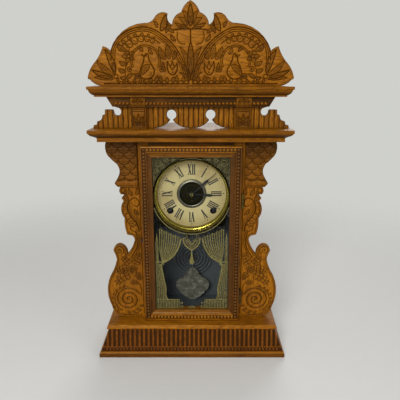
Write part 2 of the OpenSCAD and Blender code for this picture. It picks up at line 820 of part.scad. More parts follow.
// Lantern pinion: n pins of module m between two collets, over a core of radius core
module lantern(p, d0, d1, n, m, turn, core) {
    r = n * m / 2;
    for (i = [0 : n - 1])
        let (a = turn + 180 / n + 360 * i / n)
        rod(p + r * [cos(a), sin(a)], d0 + 0.2, d1 - 0.2, 0.14 * 3.1416 * m);
    rod(p, d0, d0 + 0.8, r + 0.28 * 3.1416 * m);
    rod(p, d1 - 0.8, d1, r + 0.28 * 3.1416 * m);
    rod(p, d0, d1, core);
}
// Arbor between the plates with its two pivots
module arbor(p, core, pivot) {
    rod(p, plate_back + 0.25, front_plate_d - 0.25, core);
    rod(p, back_plate_d - 0.4, plate_front + 0.4, pivot);
}

great_d0 = front_plate_d - 5.5;
great_d1 = great_d0 + 2;
module great_wheel(p, turn) {
    wheel(p, great_d0, great_d1, great_n, great_m, turn, 6, 7, 4.4, 3 + running);
}
module time_great_wheel() {
    color("goldenrod")
        great_wheel(great, bearing(great, second));
}
module strike_great_wheel() {
    color("goldenrod")
        great_wheel(great_s, bearing(great_s, second_s));
}
square_w = 4.2;
module winding_arbor(p) {
    rod(p, back_plate_d - 0.5, plate_back + 0.3, 2.2);
    rod(p, plate_back + 0.2, front_plate_d - 0.2, 3);
    rod(p, front_plate_d - 0.3, plate_front + 0.8, 2.6);
    plate_at(p, plate_front + 0.5, dial_d + 1.6)
        square(square_w, center = true);
}
module time_winding_arbor() {
    color("silver")
        winding_arbor(great);
}
module strike_winding_arbor() {
    color("silver")
        winding_arbor(great_s);
}
// Mainspring: a flat spiral strip from the arbor to the lower pillar
spring_t = 0.5;
spring_turns = 8;
spring_r = 22;
spring_end = norm(pillar_low - great) - pillar_r - 0.4;
spring_steps = 24 * spring_turns;
function spring_rad(t) =
    t < spring_turns - 0.25 ? 3.9 + (spring_r - 3.9) * t / (spring_turns - 0.25)
    : spring_r + (spring_end - spring_r) * pow((t - spring_turns + 0.25) / 0.25, 2);
function spring_side(o) =
    [for (i = [0 : spring_steps])
        let (t = i * spring_turns / spring_steps, a = 360 * t + bearing(great, pillar_low))
        (spring_rad(t) + o) * [cos(a), sin(a)]];
module mainsprings() {
    color("steelblue")
        both_sides()
            plate_at(great, plate_back + 1.5, great_d0 - 8)
                polygon(concat(spring_side(-spring_t / 2),
                    [for (i = [spring_steps : -1 : 0]) spring_side(spring_t / 2)[i]]));
}
second_d0 = front_plate_d - 9;
strike_second_d0 = front_plate_d - 12.2;
module second_wheel(p, g, next, core, d0) {
    arbor(p, core, 0.8);
    lantern(p, great_d0 - 1, great_d1 + 1, second_pinion_n, great_m, bearing(p, g), core);
    wheel(p, d0, d0 + 1.2, second_n, great_m, bearing(p, next), 5, 4.5, 3.2);
}
module time_second_wheel() {
    color("goldenrod")
        second_wheel(second, great, centre, 1.4, second_d0);
}
module strike_second_wheel() {
    color("goldenrod")
        second_wheel(second_s, great_s, pin_at, 1.4, strike_second_d0);
}
centre_d0 = front_plate_d - 15;
hand_d = face_d + 5.6;
arbor_end_d = hand_d + 3.6;
module centre_wheel() {
    color("goldenrod") {
        rod(centre, plate_back + 0.25, front_plate_d - 0.25, 1.7);
        rod(centre, back_plate_d - 0.4, plate_back + 0.5, 1);
        rod(centre, front_plate_d - 0.5, plate_front + 0.3, 1.5);
        rod(centre, plate_front, arbor_end_d, 1.2);
        lantern(centre, second_d0 - 1, second_d0 + 2.5, centre_pinion_n, great_m, bearing(centre,
            second), 1.7);
        wheel(centre, centre_d0, centre_d0 + 1.2, centre_n, centre_m, bearing(centre, third), 5, 4.5, 3);
    }
}
third_d0 = centre_d0 - 5;
module third_wheel() {
    color("goldenrod") {
        arbor(third, 0.8, 0.6);
        lantern(third, centre_d0 - 1, centre_d0 + 2.3, third_pinion_n, centre_m, bearing(third, centre),
            0.6);
        wheel(third, third_d0, third_d0 + 1, third_n, third_m, bearing(third, escape), 4, 3, 2.6);
    }
}
escape_d0 = third_d0 - 4;
module escape_wheel() {
    color("goldenrod") {
        rod(escape, plate_back + 0.25, third_d0 - 1.2, 0.8);
        rod(escape, third_d0 + 2.2, front_plate_d - 0.25, 0.8);
        rod(escape, back_plate_d - 0.4, plate_front + 0.4, 0.6);
        lantern(escape, third_d0 - 1, third_d0 + 2, escape_pinion_n, third_m, bearing(escape, third), 0.6);
        plate_at(escape, escape_d0, escape_d0 + 1)
            difference() {
                polygon([for (i = [0 : escape_n - 1]) for (q = [[escape_r - 2.4, 0], [escape_r, 5.4],
                    [escape_r - 0.4, 6.6],
                    [escape_r - 2.4, 8]]) q[0] * [cos(360 * i / escape_n + q[1]),
                        sin(360 * i / escape_n + q[1])]]);
                crossings(3, escape_r - 4.4, 4, 1);
            }
    }
}
// Verge strip over the escape wheel, with its crutch behind the back plate
pallet_r = escape_r + 1.6;
module verge() {
    s = verge_at - escape;
    color("steelblue") {
        rod(verge_at, plate_back + 0.25, front_plate_d - 0.25, 1.2);
        rod(verge_at, rod_d + 3, plate_back + 0.5, 1);
        rod(verge_at, front_plate_d - 0.5, plate_front + 0.4, 0.8);
        plate_at(escape, escape_d0 - 0.4, escape_d0 + 1.4)
            polygon([[0, s[1] + 2], [-12, s[1] - 4], [-14, 8.4], [pallet_r * cos(148), pallet_r * sin(148)],
                [pallet_r * cos(140), pallet_r * sin(140)], [-10, s[1] - 6.4], [0, s[1] - 1.6],
                [10, s[1] - 6.4], [pallet_r * cos(40), pallet_r * sin(40)], [pallet_r * cos(32),
                    pallet_r * sin(32)],
                [14, 8.4], [12, s[1] - 4]]);
        plate_at(verge_at, rod_d + 3, rod_d + 4.2)
            polygon([[-1.6, 1.6], [1.6, 1.6], [1.6, -36], [2.6, -37], [2.6, -40], [-2.6, -40], [-2.6,
                -37], [-1.6, -36]]);
        for (s = [-1, 1])
            board(s * 1.5 - 0.5, s * 1.5 + 0.5, rod_d - 1, rod_d + 3.4, pivot_z - 39.5, pivot_z - 37.5);
    }
}
rod_r = 0.8;
module pendulum_rod() {
    color("silver") {
        board(-0.2, 0.2, rod_d - 1, rod_d + 1, pivot_z - 14, pivot_z + 5.4);
        board(-rod_r, rod_r, rod_d - 0.5, rod_d + 0.5, bob_z + bob_h / 2, pivot_z - 13);
    }
}
// Right half of the bob, drawn about its middle at 33 wide and 68 high
bob_draw = [
    [0, 34, 0], [2.5, 34, 0.2], [8.5, 28, 0.2], [12.5, 19.5, 0.2], [18.5, 13.5, 0.2], [27, 9, 0.14],
    [33, 0, 0.1], [31.5, -7.5, 0.2], [25.5, -14, 0.2], [19, -21.5, 0.2], [11.5, -28.5, 0.15], [0, -34, 0]];
module bob_shape() {
    polygon(whole(outline(fitted(bob_draw, bob_w / 66, bob_h / 68, 0, 0))));
}
module pendulum_bob() {
    color("gray")
        translate([0, 0, bob_z]) {
            slab(rod_d - 1.6, rod_d + 1.6)
                bob_shape();
            slab(rod_d - 4, rod_d + 3.6)
                circle(r = 12);
        }
}

pin_d0 = front_plate_d - 8.5;
module strike_pin_wheel() {
    color("goldenrod") {
        arbor(pin_at, 0.9, 0.7);
        lantern(pin_at, strike_second_d0 - 1, strike_second_d0 + 2.5, pin_pinion_n, great_m,
            bearing(pin_at, second_s), 0.9);
        wheel(pin_at, pin_d0, pin_d0 + 1, pin_n, pin_m, bearing(pin_at, fly_at), 4, 3, 2.8);
    }
}
module strike_fly() {
    color("goldenrod") {
        arbor(fly_at, 0.8, 0.6);
        lantern(fly_at, pin_d0 - 1, pin_d0 + 2, fly_pinion_n, pin_m, bearing(fly_at, pin_at), 0.6);
        plate_at(fly_at, plate_back + 1, pin_d0 - 3, 30)
            square([15, 0.8], center = true);
    }
}
// Hammer with its arm behind the movement, the head stands over the gong
head_r = 3.2;
head_at = [-10.5, gong_z + gong_r + gong_wire_r + 3.9 - dial_z];
arm_d = gong_plane_d + 3;
module hammer() {
    l = norm(head_at - hammer_at);
    a = bearing(hammer_at, head_at);
    color("dimgray") {
        rod(hammer_at, arm_d, front_plate_d - 0.25, 1.5);
        rod(hammer_at, front_plate_d - 0.5, plate_front + 0.4, 1);
        plate_at(hammer_at, arm_d, arm_d + 3, a)
            translate([-2, -1.4])
                square([l + 2, 2.8]);
        rod(head_at, gong_plane_d - 3, arm_d + 3.4, head_r);
    }
}

motion_d0 = plate_front + 0.7;
hour_d0 = motion_d0 + 1.8;
module gear(p, d0, d1, n, m, turn, bore) {
    plate_at(p, d0, d1, turn)
        difference() {
            polygon(teeth(n, m, 0.6));
            circle(r = bore);
        }
}
cannon_r = 1.9;
hour_pipe_r = 2.9;
module cannon_pinion() {
    color("goldenrod") {
        gear(centre, motion_d0, motion_d0 + 1.2, cannon_n, minute_m, bearing(centre, minute_at),
            1.2 + running);
        difference() {
            rod(centre, motion_d0 + 1, hand_d, cannon_r);
            rod(centre, motion_d0, hand_d + 1, 1.2 + running);
        }
    }
}
module minute_wheel() {
    color("goldenrod") {
        gear(minute_at, motion_d0, motion_d0 + 1, minute_n, minute_m,
            bearing(minute_at, centre) + 180 / minute_n, 1 + running);
        gear(minute_at, motion_d0 + 0.9, hour_d0 + 1.4, minute_pinion_n, hour_m, bearing(minute_at,
            centre), 1 + running);
    }
}
module hour_wheel() {
    color("goldenrod") {
        gear(centre, hour_d0, hour_d0 + 1, hour_n, hour_m, bearing(centre, minute_at) + 180 / hour_n,
            cannon_r + running);
        difference() {
            rod(centre, hour_d0 + 0.5, hand_d - 2, hour_pipe_r);
            rod(centre, hour_d0, hand_d, cannon_r + running);
        }
    }
}
// Spear hand of length l, widest 2 w at the distance k from the middle, with a slender tip
module spear(l, k, w, hub, bore) {
    difference() {
        union() {
            polygon(outline([[0.7, 0, 0], [0.8, k - 8, -0.08], [w, k, -0.08], [0.75, k + 8, 0], [0.35, l, 0],
                [-0.35, l, 0], [-0.75, k + 8, -0.08], [-w, k, -0.08], [-0.8, k - 8, 0], [-0.7, 0, 0]]));
            circle(r = hub);
        }
        circle(r = bore);
    }
}
hour_turn = -94;
minute_turn = -48;
hand_t = 0.8;
module hour_hand() {
    color("black")
        plate_at(centre, hand_d - 2 - hand_t, hand_d - 2, hour_turn)
            spear(hour_len, 0.72 * hour_len, 2.3, 4.4, hour_pipe_r + running);
}
module minute_hand() {
    color("black")
        plate_at(centre, hand_d, hand_d + hand_t, minute_turn)
            spear(minute_len, 0.55 * minute_len, 2.3, 3, 1.2 + running);
}
module hand_nut() {
    color("gold")
        difference() {
            rod(centre, hand_d + hand_t, hand_d + hand_t + 1.8, 2.4);
            rod(centre, hand_d, hand_d + 5, 1.2 + running);
        }
}

// Gong: one wire wound in a flat spiral, from the post outwards
gong_post_r = 5;
gong_r0 = gong_post_r + gong_wire_r + 0.3;
gong_steps = 24 * gong_loops;
function gong_rad(i) = gong_r0 + (gong_r - gong_r0) * i / gong_steps;
gong_path = [for (i = [0 : gong_steps]) let (a = 360 * i / 24) gong_rad(i) * [cos(a), sin(a)]];
gong_gap = min([for (i = [0 : gong_steps - 18]) for (j = [i + 18 : min(gong_steps, i + 30)])
    norm(gong_path[j] - gong_path[i])]) - 2 * gong_wire_r;
echo(gong_least_gap_mm = gong_gap);
gong_points = [for (i = [0 : gong_steps]) for (k = [0 : 5])
    let (a = 360 * i / 24, q = 60 * k, r = gong_rad(i) + gong_wire_r * cos(q))
    [r * cos(a), Y(gong_plane_d) + gong_wire_r * sin(q), gong_z + r * sin(a)]];
gong_faces = concat([[5, 4, 3, 2, 1, 0]],
    [for (i = [0 : gong_steps - 1]) for (k = [0 : 5])
        [6 * i + k, 6 * i + (k + 1) % 6, 6 * (i + 1) + (k + 1) % 6, 6 * (i + 1) + k]],
    [[for (k = [0 : 5]) 6 * gong_steps + k]]);
module gong_coil() {
    color("steelblue")
        polyhedron(points = gong_points, faces = gong_faces);
}
module gong_base() {
    p = [0, gong_z - dial_z];
    color("dimgray") {
        rod(p, back_t, back_t + 3, 13);
        rod(p, back_t + 2, gong_plane_d + 3.5, gong_post_r);
    }
}

base_plinth();
base_apron();
base_ends();
base_ledge();
case_sides();
case_top();
case_back();
front_cross_rails();
left_fret();
right_fret();
scale_brackets();
shelf_cornice();
frieze_board();
frieze_blocks();
bead_strip();
top_cornice();
crest();
door_left_stile();
door_right_stile();
door_top_rail();
door_bottom_rail();
door_glass();
glass_beads();
hinge_case_leaves();
hinge_door_leaves();
hinge_pins();
door_pull();
dial_pan();
dial_paper();
dial_bezel();
dial_centre_ring();
dial_rails();
screws_and_nuts();
front_plate();
back_plate();
pillars();
time_great_wheel();
strike_great_wheel();
time_winding_arbor();
strike_winding_arbor();
mainsprings();
time_second_wheel();
centre_wheel();
third_wheel();
escape_wheel();
verge();
pendulum_rod();
pendulum_bob();
strike_second_wheel();
strike_pin_wheel();
strike_fly();
hammer();
cannon_pinion();
minute_wheel();
hour_wheel();
hour_hand();
minute_hand();
hand_nut();
gong_coil();
gong_base();
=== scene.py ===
"""Looks of an oak gingerbread kitchen clock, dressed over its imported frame."""
import json
import math

import bpy
import numpy as np
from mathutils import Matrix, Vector
from mathutils.geometry import delaunay_2d_cdt
from mathutils.kdtree import KDTree


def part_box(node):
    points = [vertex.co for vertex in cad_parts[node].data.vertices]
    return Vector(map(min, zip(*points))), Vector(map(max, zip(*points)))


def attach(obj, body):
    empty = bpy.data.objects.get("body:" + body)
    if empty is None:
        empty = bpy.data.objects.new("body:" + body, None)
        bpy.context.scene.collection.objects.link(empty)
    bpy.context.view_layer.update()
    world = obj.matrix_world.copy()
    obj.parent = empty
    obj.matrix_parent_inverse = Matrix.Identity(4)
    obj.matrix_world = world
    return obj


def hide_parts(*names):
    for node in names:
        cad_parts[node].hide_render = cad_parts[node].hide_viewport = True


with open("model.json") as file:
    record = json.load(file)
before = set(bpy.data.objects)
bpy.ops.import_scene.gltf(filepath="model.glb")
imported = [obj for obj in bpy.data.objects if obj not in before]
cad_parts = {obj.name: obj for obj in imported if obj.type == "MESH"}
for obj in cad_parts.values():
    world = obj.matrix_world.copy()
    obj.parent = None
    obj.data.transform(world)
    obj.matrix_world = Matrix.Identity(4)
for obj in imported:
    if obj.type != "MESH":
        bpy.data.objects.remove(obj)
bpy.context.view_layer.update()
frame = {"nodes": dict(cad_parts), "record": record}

bl_info = {
    "name": "Gingerbread Clock",
    "version": (1, 0, 0),
    "blender": (4, 5, 0),
    "location": "3D View > Sidebar > Clock",
    "description": "Carves, prints, gilds and finishes an oak kitchen clock over its frame",
    "category": "Object",
}

MM = 0.001
BACK_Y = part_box("case_back")[1].y
STEP = 0.35                     # mm between the points of a drawn line
FRONT_BOARD = (94, 84)          # depths in mm of the face and the back of the front boards
CORNER = 30                     # degrees of turn from which a point of an outline is a corner
LONG_RUN = 9                    # mm from which a run of an outline is straight
SHARP = math.radians(50)        # edges that fold more than this stay sharp


def y_at(depth):
    """The row frame's y, in metres, of a depth in mm from the back of the case."""
    return BACK_Y - depth * MM


# Properties that a user would change


def length(name, description, mm):
    return bpy.props.FloatProperty(name=name, description=description, default=mm * MM, min=0.0,
                                   precision=5, unit="LENGTH")


def colour(name, description, *rgb):
    return bpy.props.FloatVectorProperty(name=name, description=description, subtype="COLOR_GAMMA",
                                         size=3, min=0.0, max=1.0, default=[c / 255 for c in rgb])


class ClockSizes(bpy.types.PropertyGroup):
    """Sizes of the carved, printed and turned work"""
    carve_step: length("Carving grain", "Spacing of the points of a carved face near its lines", 0.56)
    bold_depth: length("Bold cut", "Depth of the bold carved lines", 1.6)
    mid_depth: length("Middle cut", "Depth of the outlines of leaves and petals", 1.2)
    fine_depth: length("Fine cut", "Depth of veins and hatching", 0.75)
    edge_round: length("Edge round", "Radius of the rounded edge of a carved board", 1.3)
    ink: length("Print thickness", "Thickness of the printed numerals", 0.08)
    gilding: length("Gilding thickness", "Thickness of the gilt stencil behind the glass", 0.08)
    numeral_foot: length("Numeral foot", "Radius at the feet of the hour numerals", 34.5)
    numeral_head: length("Numeral head", "Radius at the heads of the hour numerals", 53.0)
    minute_ring: length("Minute ring", "Radius of the ring of minute marks", 56.6)
    reed_pitch: length("Reed pitch", "Spacing of the reeds of the frieze and the apron", 8.3)
    reed_relief: length("Reed relief", "Height of a reed over its grooves", 1.8)
    bead_pitch: length("Bead pitch", "Spacing of the turned beads", 6.2)


class ClockColours(bpy.types.PropertyGroup):
    """Colours of the finishes"""
    oak_light: colour("Oak, light", "Light grain of the golden oak", 173, 110, 19)
    oak_dark: colour("Oak, dark", "Dark grain of the golden oak", 112, 64, 4)
    # The cornice oak is darker than the golden oak: a darker finish with painted shade.
    edge_light: colour("Cornice oak, light", "Light grain of the cornices and the shelf", 140, 86, 10)
    edge_dark: colour("Cornice oak, dark", "Dark grain of the cornices and the shelf", 94, 53, 4)
    # Stain in the carved lines and pores, also used for painted shade under mouldings, in hollows and in the
    # shelf's shadow.
    stain: colour("Carving stain", "Stain and old varnish in the carved lines", 44, 21, 2)
    red_light: colour("Red oak, light", "Light grain of the door stiles and the plinth", 106, 61, 12)
    red_dark: colour("Red oak, dark", "Dark grain of the door stiles and the plinth", 66, 36, 4)
    warm: colour("Warm patches", "Reddish patches in the old varnish", 120, 69, 14)
    base_light: colour("Base, light", "Light grain of the apron and base ends", 134, 73, 16)
    base_dark: colour("Base, dark", "Dark grain of the apron and base ends", 74, 38, 6)
    back_wood: colour("Back board", "Unfinished wood of the back board", 150, 112, 74)
    # The slate is lifted and blued to stand in for the sheen of the door glass over the lining: a painted
    # reflection.
    slate: colour("Case lining", "Dark lining inside the case", 87, 92, 95)
    brass: colour("Brass", "Polished brass of the bezel", 152, 138, 58)
    tarnish: colour("Tarnish", "Tarnish on the brass", 92, 80, 26)
    # Darkened nearly to black: painted shade inside the case, with tarnish.
    dim_brass: colour("Dim brass", "Darkened brass of the movement", 34, 31, 18)
    steel: colour("Steel", "Bright steel of arbors and rod", 150, 152, 156)
    black: colour("Blued steel", "Black hands and pull", 14, 14, 15)
    iron: colour("Iron", "Cast iron of the hammer and gong block", 52, 50, 48)
    paper: colour("Dial paper", "Cream paper of the dial", 183, 168, 119)
    foxing: colour("Dial foxing", "Brown age marks on the dial paper", 146, 123, 73)
    ink: colour("Print", "Black print of the dial", 20, 17, 14)
    gilt: colour("Gilding", "Dull gold lines of the glass stencil", 126, 115, 66)
    wash: colour("Gilt wash", "Thin gold ground of the glass stencil", 88, 79, 44)
    bob: colour("Bob", "Grey metal of the pendulum bob", 144, 143, 130)
    gong: colour("Gong", "Dull steel of the coil gong and the pendulum rod", 73, 77, 79)
    ring: colour("Centre ring", "Grey metal of the ring round the dial centre", 92, 88, 76)
    floor: colour("Floor", "Pale floor", 226, 225, 221)
    backdrop: colour("Backdrop", "Pale backdrop", 207, 208, 204)


def sizes():
    return bpy.context.scene.clock_sizes


def tint(name):
    """A colour property as linear red, green, blue and 1."""
    srgb = np.array(getattr(bpy.context.scene.clock_colours, name))
    linear = np.where(srgb <= 0.04045, srgb / 12.92, ((srgb + 0.055) / 1.055) ** 2.4)
    return (*linear, 1.0)


# Shaders


def math_method(operation, swapped=False):
    """A method of Sock that adds a Math node; swapped puts the socket after the other value."""
    def method(self, *others):
        values = (*others, self) if swapped else (self, *others)
        return self.paint.node("ShaderNodeMath", dict(enumerate(values)), operation=operation)
    return method


class Sock:
    """A shader socket whose arithmetic adds Math nodes."""
    __add__ = __radd__ = math_method("ADD")
    __sub__, __rsub__ = math_method("SUBTRACT"), math_method("SUBTRACT", True)
    __mul__ = __rmul__ = math_method("MULTIPLY")
    __truediv__ = math_method("DIVIDE")
    __pow__ = math_method("POWER")
    __abs__ = math_method("ABSOLUTE")
    sine, most, least = math_method("SINE"), math_method("MAXIMUM"), math_method("MINIMUM")

    def __init__(self, paint, socket):
        self.paint, self.socket = paint, socket

    def ease(self, low, high, start=0.0, end=1.0):
        """A smooth step from start at low to end at high."""
        return self.paint.node("ShaderNodeMapRange", {"Value": self, "From Min": low, "From Max": high,
                                                      "To Min": start, "To Max": end},
                               interpolation_type="SMOOTHSTEP")


class Paint:
    """A procedural material, or a world, under construction."""

    def __init__(self, name=None, tree=None):
        if tree is None:
            self.material = bpy.data.materials.new(name)
            self.material.use_nodes = True
            tree = self.material.node_tree
        self.tree = tree
        tree.nodes.clear()
        self.sources = {}

    def node(self, kind, inputs=None, out=0, **settings):
        """Adds a node with its settings, and inputs that are values or sockets; gives one of its outputs."""
        made = self.tree.nodes.new(kind)
        for key, value in settings.items():
            setattr(made, key, value)
        for key, value in (inputs or {}).items():
            if isinstance(value, Sock):
                self.tree.links.new(value.socket, made.inputs[key])
            else:
                made.inputs[key].default_value = value
        return Sock(self, made.outputs[out]) if made.outputs else None

    def source(self, out):
        """Object coordinates, or another output of Texture Coordinate."""
        if out not in self.sources:
            self.sources[out] = self.node("ShaderNodeTexCoord", out=out)
        return self.sources[out]

    def axes(self, vector):
        """The three parts of a vector."""
        parts = self.node("ShaderNodeSeparateXYZ", {0: vector}).socket.node
        return [Sock(self, part) for part in parts.outputs]

    def scaled(self, x, y, z):
        return self.node("ShaderNodeMapping", {"Vector": self.source("Object"), "Scale": (x, y, z)})

    def noise(self, scale, detail, rough, swirl=0.0, at=None):
        """Noise over the object's coordinates, or over another vector."""
        return self.node("ShaderNodeTexNoise", {"Vector": at or self.source("Object"), "Scale": scale,
                                                "Detail": detail, "Roughness": rough, "Distortion": swirl})

    def mix(self, a, b, factor):
        return self.node("ShaderNodeMix", {0: factor, 6: a, 7: b}, 2, data_type="RGBA")

    def mix_shaders(self, factor, a, b):
        return self.node("ShaderNodeMixShader", {0: factor, 1: a, 2: b})

    def bump(self, height, distance, strength):
        return self.node("ShaderNodeBump", {"Height": height, "Distance": distance, "Strength": strength})

    def principled(self, **inputs):
        names = {key.replace("_", " ").title().replace("Ior", "IOR"): value for key, value in inputs.items()}
        return self.node("ShaderNodeBsdfPrincipled", names)

    def done(self, shader=None, **inputs):
        """The material, with a shader or a principled one of these inputs as its surface."""
        self.node("ShaderNodeOutputMaterial", {"Surface": shader or self.principled(**inputs)})
        return self.material


ALONG = {"x": (1.0, 11.0, 11.0), "y": (11.0, 1.0, 11.0), "z": (11.0, 11.0, 1.0)}


def wood(name, along, light, dark, shade=None, lining=None, gloss=0.16):
    """Varnished oak with its grain along an axis. shade names the painted shade: "carve" or "reed" for a
    piece's own attribute of stain and painted shade, or "mould" for painted shade on the undersides of
    mouldings and painted light on their tops. lining names the faces that look into the case and are dark
    slate: those of the "back", the "sides" or the "floor"."""
    p = Paint(name)
    stretch = ALONG[along]
    grain = p.scaled(*stretch)
    rings = (p.noise(7.0, 4.0, 0.6, 1.2, grain) * 55.0).sine() * 0.5 + 0.5
    pores = p.noise(75.0, 2.0, 0.5, at=p.scaled(*(s * 1.6 for s in stretch))).ease(0.56, 0.68)
    streak = p.noise(34.0, 3.0, 0.6, at=grain)
    age = p.noise(16.0, 4.0, 0.62)
    tone = (rings * 0.34 + streak * 0.62 + age * 0.45 - 0.28).ease(0.05, 0.95)
    base = p.mix(tint(dark), tint(light), tone)
    base = p.mix(base, tint("warm"), p.noise(9.0, 3.0, 0.6).ease(0.42, 0.68) * 0.45)
    base = p.mix(base, tint("stain"), pores * 0.42 + age.ease(0.48, 0.72) * 0.42)
    nx, ny, nz = p.axes(p.source("Normal"))
    # Painted shade: the undersides of mouldings darken, and on carved and reeded pieces their attribute
    # darkens the lines and hollows with stain and painted shade.
    if shade:
        if shade == "mould":
            shade_and_stain_mask = (0 - nz).ease(0.15, 0.9) * 0.7
        else:
            shade_and_stain_mask = p.node("ShaderNodeAttribute", out="Fac", attribute_name="carve")
        strength = 0.84 if shade == "carve" else 0.95
        base = p.mix(base, tint("stain"), (shade_and_stain_mask * (strength + age * 0.3)).least(0.96))
    # The lining is dark slate, lifted and blued to stand in for the sheen of the door glass over it: a
    # painted reflection.
    if lining:
        x, y, _ = p.axes(p.source("Object"))
        inside_case = abs(x).ease(0.0755, 0.077, 1.0, 0.0) * y.ease(y_at(84), y_at(82))
        inner = {"back": (0 - ny).ease(0.4, 0.6), "sides": (0 - nx * x).ease(0.01, 0.03),
                 "floor": nz.ease(0.4, 0.6) * inside_case}[lining]
        base = p.mix(base, p.mix(tint("slate"), tint("black"), age * 0.6), inner)
    rough = 0.42 - 0.3 * gloss + pores * 0.16 + age * 0.14
    # Painted light: the up-facing tops of mouldings are lightened as if lit from above, and made smoother.
    if shade == "mould":
        base = p.mix(base, tint("oak_light"), nz.ease(0.2, 0.75) * 0.5)
        rough = rough * nz.ease(0.9, 0.99, 1.0, 0.65)
    return p.done(base_color=base, roughness=rough, specular_ior_level=gloss,
                  specular_tint=(1.0, 0.74, 0.42, 1.0),
                  normal=p.bump(rings * 0.25 + streak * 0.35 - pores * 0.8, 0.00022, 0.55))


def metal(name, bright, dull, rough, spots):
    """Aged metal with tarnish in patches and fine scratches."""
    p = Paint(name)
    cloud = p.noise(42.0, 4.0, 0.62, 0.4)
    fine = p.noise(620.0, 2.0, 0.5)
    scratch = p.noise(1.0, 2.0, 0.5, at=p.scaled(30.0, 30.0, 900.0))
    dirt = (cloud * 0.75 + fine * 0.35).ease(spots, spots + 0.22)
    return p.done(base_color=p.mix(tint(bright), tint(dull), dirt * 0.85), metallic=1.0 - dirt * 0.35,
                  roughness=rough + dirt * 0.25 + scratch * 0.12,
                  normal=p.bump(scratch * 0.5 + fine, 0.0002, 0.35))


def dark_metal(name, shade, rough, shine=0.35):
    """Painted or blued steel with a slight wear in its sheen."""
    p = Paint(name)
    cloud = p.noise(130.0, 3.0, 0.6)
    return p.done(base_color=p.mix(tint(shade), tint("iron"), cloud.ease(0.5, 0.8) * 0.35), metallic=shine,
                  roughness=rough + cloud * 0.25, normal=p.bump(cloud, 0.0001, 0.3))


def bezel_brass(name):
    """Brass that is bright on the roll inside the bezel and dull on its collar."""
    p = Paint(name)
    _, y, _ = p.axes(p.source("Object"))
    cloud = p.noise(60.0, 4.0, 0.62, 0.4)
    dull = (BACK_Y / MM - y * 1000.0).ease(82.0, 83.5, 0.0, 0.7) + cloud.ease(0.45, 0.75) * 0.3
    return p.done(base_color=p.mix(tint("brass"), tint("tarnish"), dull.least(1.0)), metallic=0.92,
                  roughness=dull * 0.2 + 0.12, normal=p.bump(cloud, 0.00004, 0.3))


def dial_paper(name):
    """Cream paper, browned towards its rim and in foxed spots."""
    p = Paint(name)
    low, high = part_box("dial_paper")
    x, _, z = p.axes(p.source("Object"))
    dz = z - (low.z + high.z) / 2
    radius = (x * x + dz * dz) ** 0.5 / ((high.x - low.x) / 2)
    cloud = p.noise(26.0, 4.0, 0.6)
    spots = p.noise(190.0, 2.0, 0.5).ease(0.64, 0.78)
    fibre = p.noise(1500.0, 2.0, 0.6)
    brown = (radius.ease(0.55, 1.05) * 0.5 + cloud.ease(0.4, 0.8) * 0.6 + spots * 0.35).least(0.85)
    return p.done(base_color=p.mix(tint("paper"), tint("foxing"), brown), roughness=0.62 + fibre * 0.25,
                  normal=p.bump(fibre + cloud * 0.4, 0.00006, 0.4))


def print_ink(name):
    """Printer's black with a dry, slightly worn edge."""
    p = Paint(name)
    wear = p.noise(700.0, 3.0, 0.6).ease(0.55, 0.8)
    return p.done(base_color=p.mix(tint("ink"), tint("foxing"), wear * 0.4), roughness=0.6 + wear * 0.2)


def gilding(name):
    """Dull bronze powder with rubbed places, darker in the lace of the top corners."""
    p = Paint(name)
    rub = p.noise(95.0, 4.0, 0.65).ease(0.45, 0.75)
    grit = p.noise(1400.0, 2.0, 0.6)
    base = p.mix(tint("gilt"), tint("tarnish"), rub * 0.55 + grit * 0.25)
    _, _, z = p.axes(p.source("Object"))
    base = p.mix(base, tint("black"), z.ease(0.3, 0.325) * 0.5)
    return p.done(base_color=base, metallic=0.45, roughness=0.42 + grit * 0.3,
                  normal=p.bump(grit, 0.00005, 0.4))


def gilt_wash(name):
    """A thin, blotchy gold ground, worn off towards the curtain rail and the foot, over the dark."""
    p = Paint(name)
    _, _, z = p.axes(p.source("Object"))
    streak = p.noise(1.0, 3.0, 0.6, at=p.scaled(420.0, 1.0, 26.0))
    blotch = p.noise(75.0, 4.0, 0.65)
    grit = p.noise(900.0, 2.0, 0.6)
    base = p.mix(tint("wash"), tint("tarnish"), streak.ease(0.35, 0.7) * 0.5)
    base = p.mix(base, tint("red_dark"), blotch.ease(0.52, 0.75) * 0.5)
    body = p.principled(base_color=base, metallic=0.2, roughness=0.5 + grit * 0.3)
    rail = z.ease(0.192, 0.222, 1.0, 0.08).most(z.ease(0.28, 0.3) * 0.3)
    foot = z.ease(0.0995, 0.1015, 0.25, 1.0)
    cover = (streak * 0.5 + blotch * 0.7).ease(0.4, 0.8, 0.3, 0.9) * rail * foot
    return p.done(p.mix_shaders(cover, p.node("ShaderNodeBsdfTransparent"), body))


def clear_glass(name):
    """Old window glass: clear, with a faint sheen and a slight ripple."""
    p = Paint(name)
    ripple = p.noise(11.0, 2.0, 0.5)
    sheen = p.principled(base_color=(0.9, 0.93, 0.92, 1.0), metallic=1.0, roughness=0.03 + ripple * 0.04,
                         normal=p.bump(ripple, 0.0006, 0.4))
    clear = p.node("ShaderNodeBsdfTransparent", {"Color": (0.97, 0.98, 0.975, 1.0)})
    slant = p.node("ShaderNodeLayerWeight", {"Blend": 0.5}, "Facing")
    return p.done(p.mix_shaders(slant ** 4 * 0.8, clear, sheen))


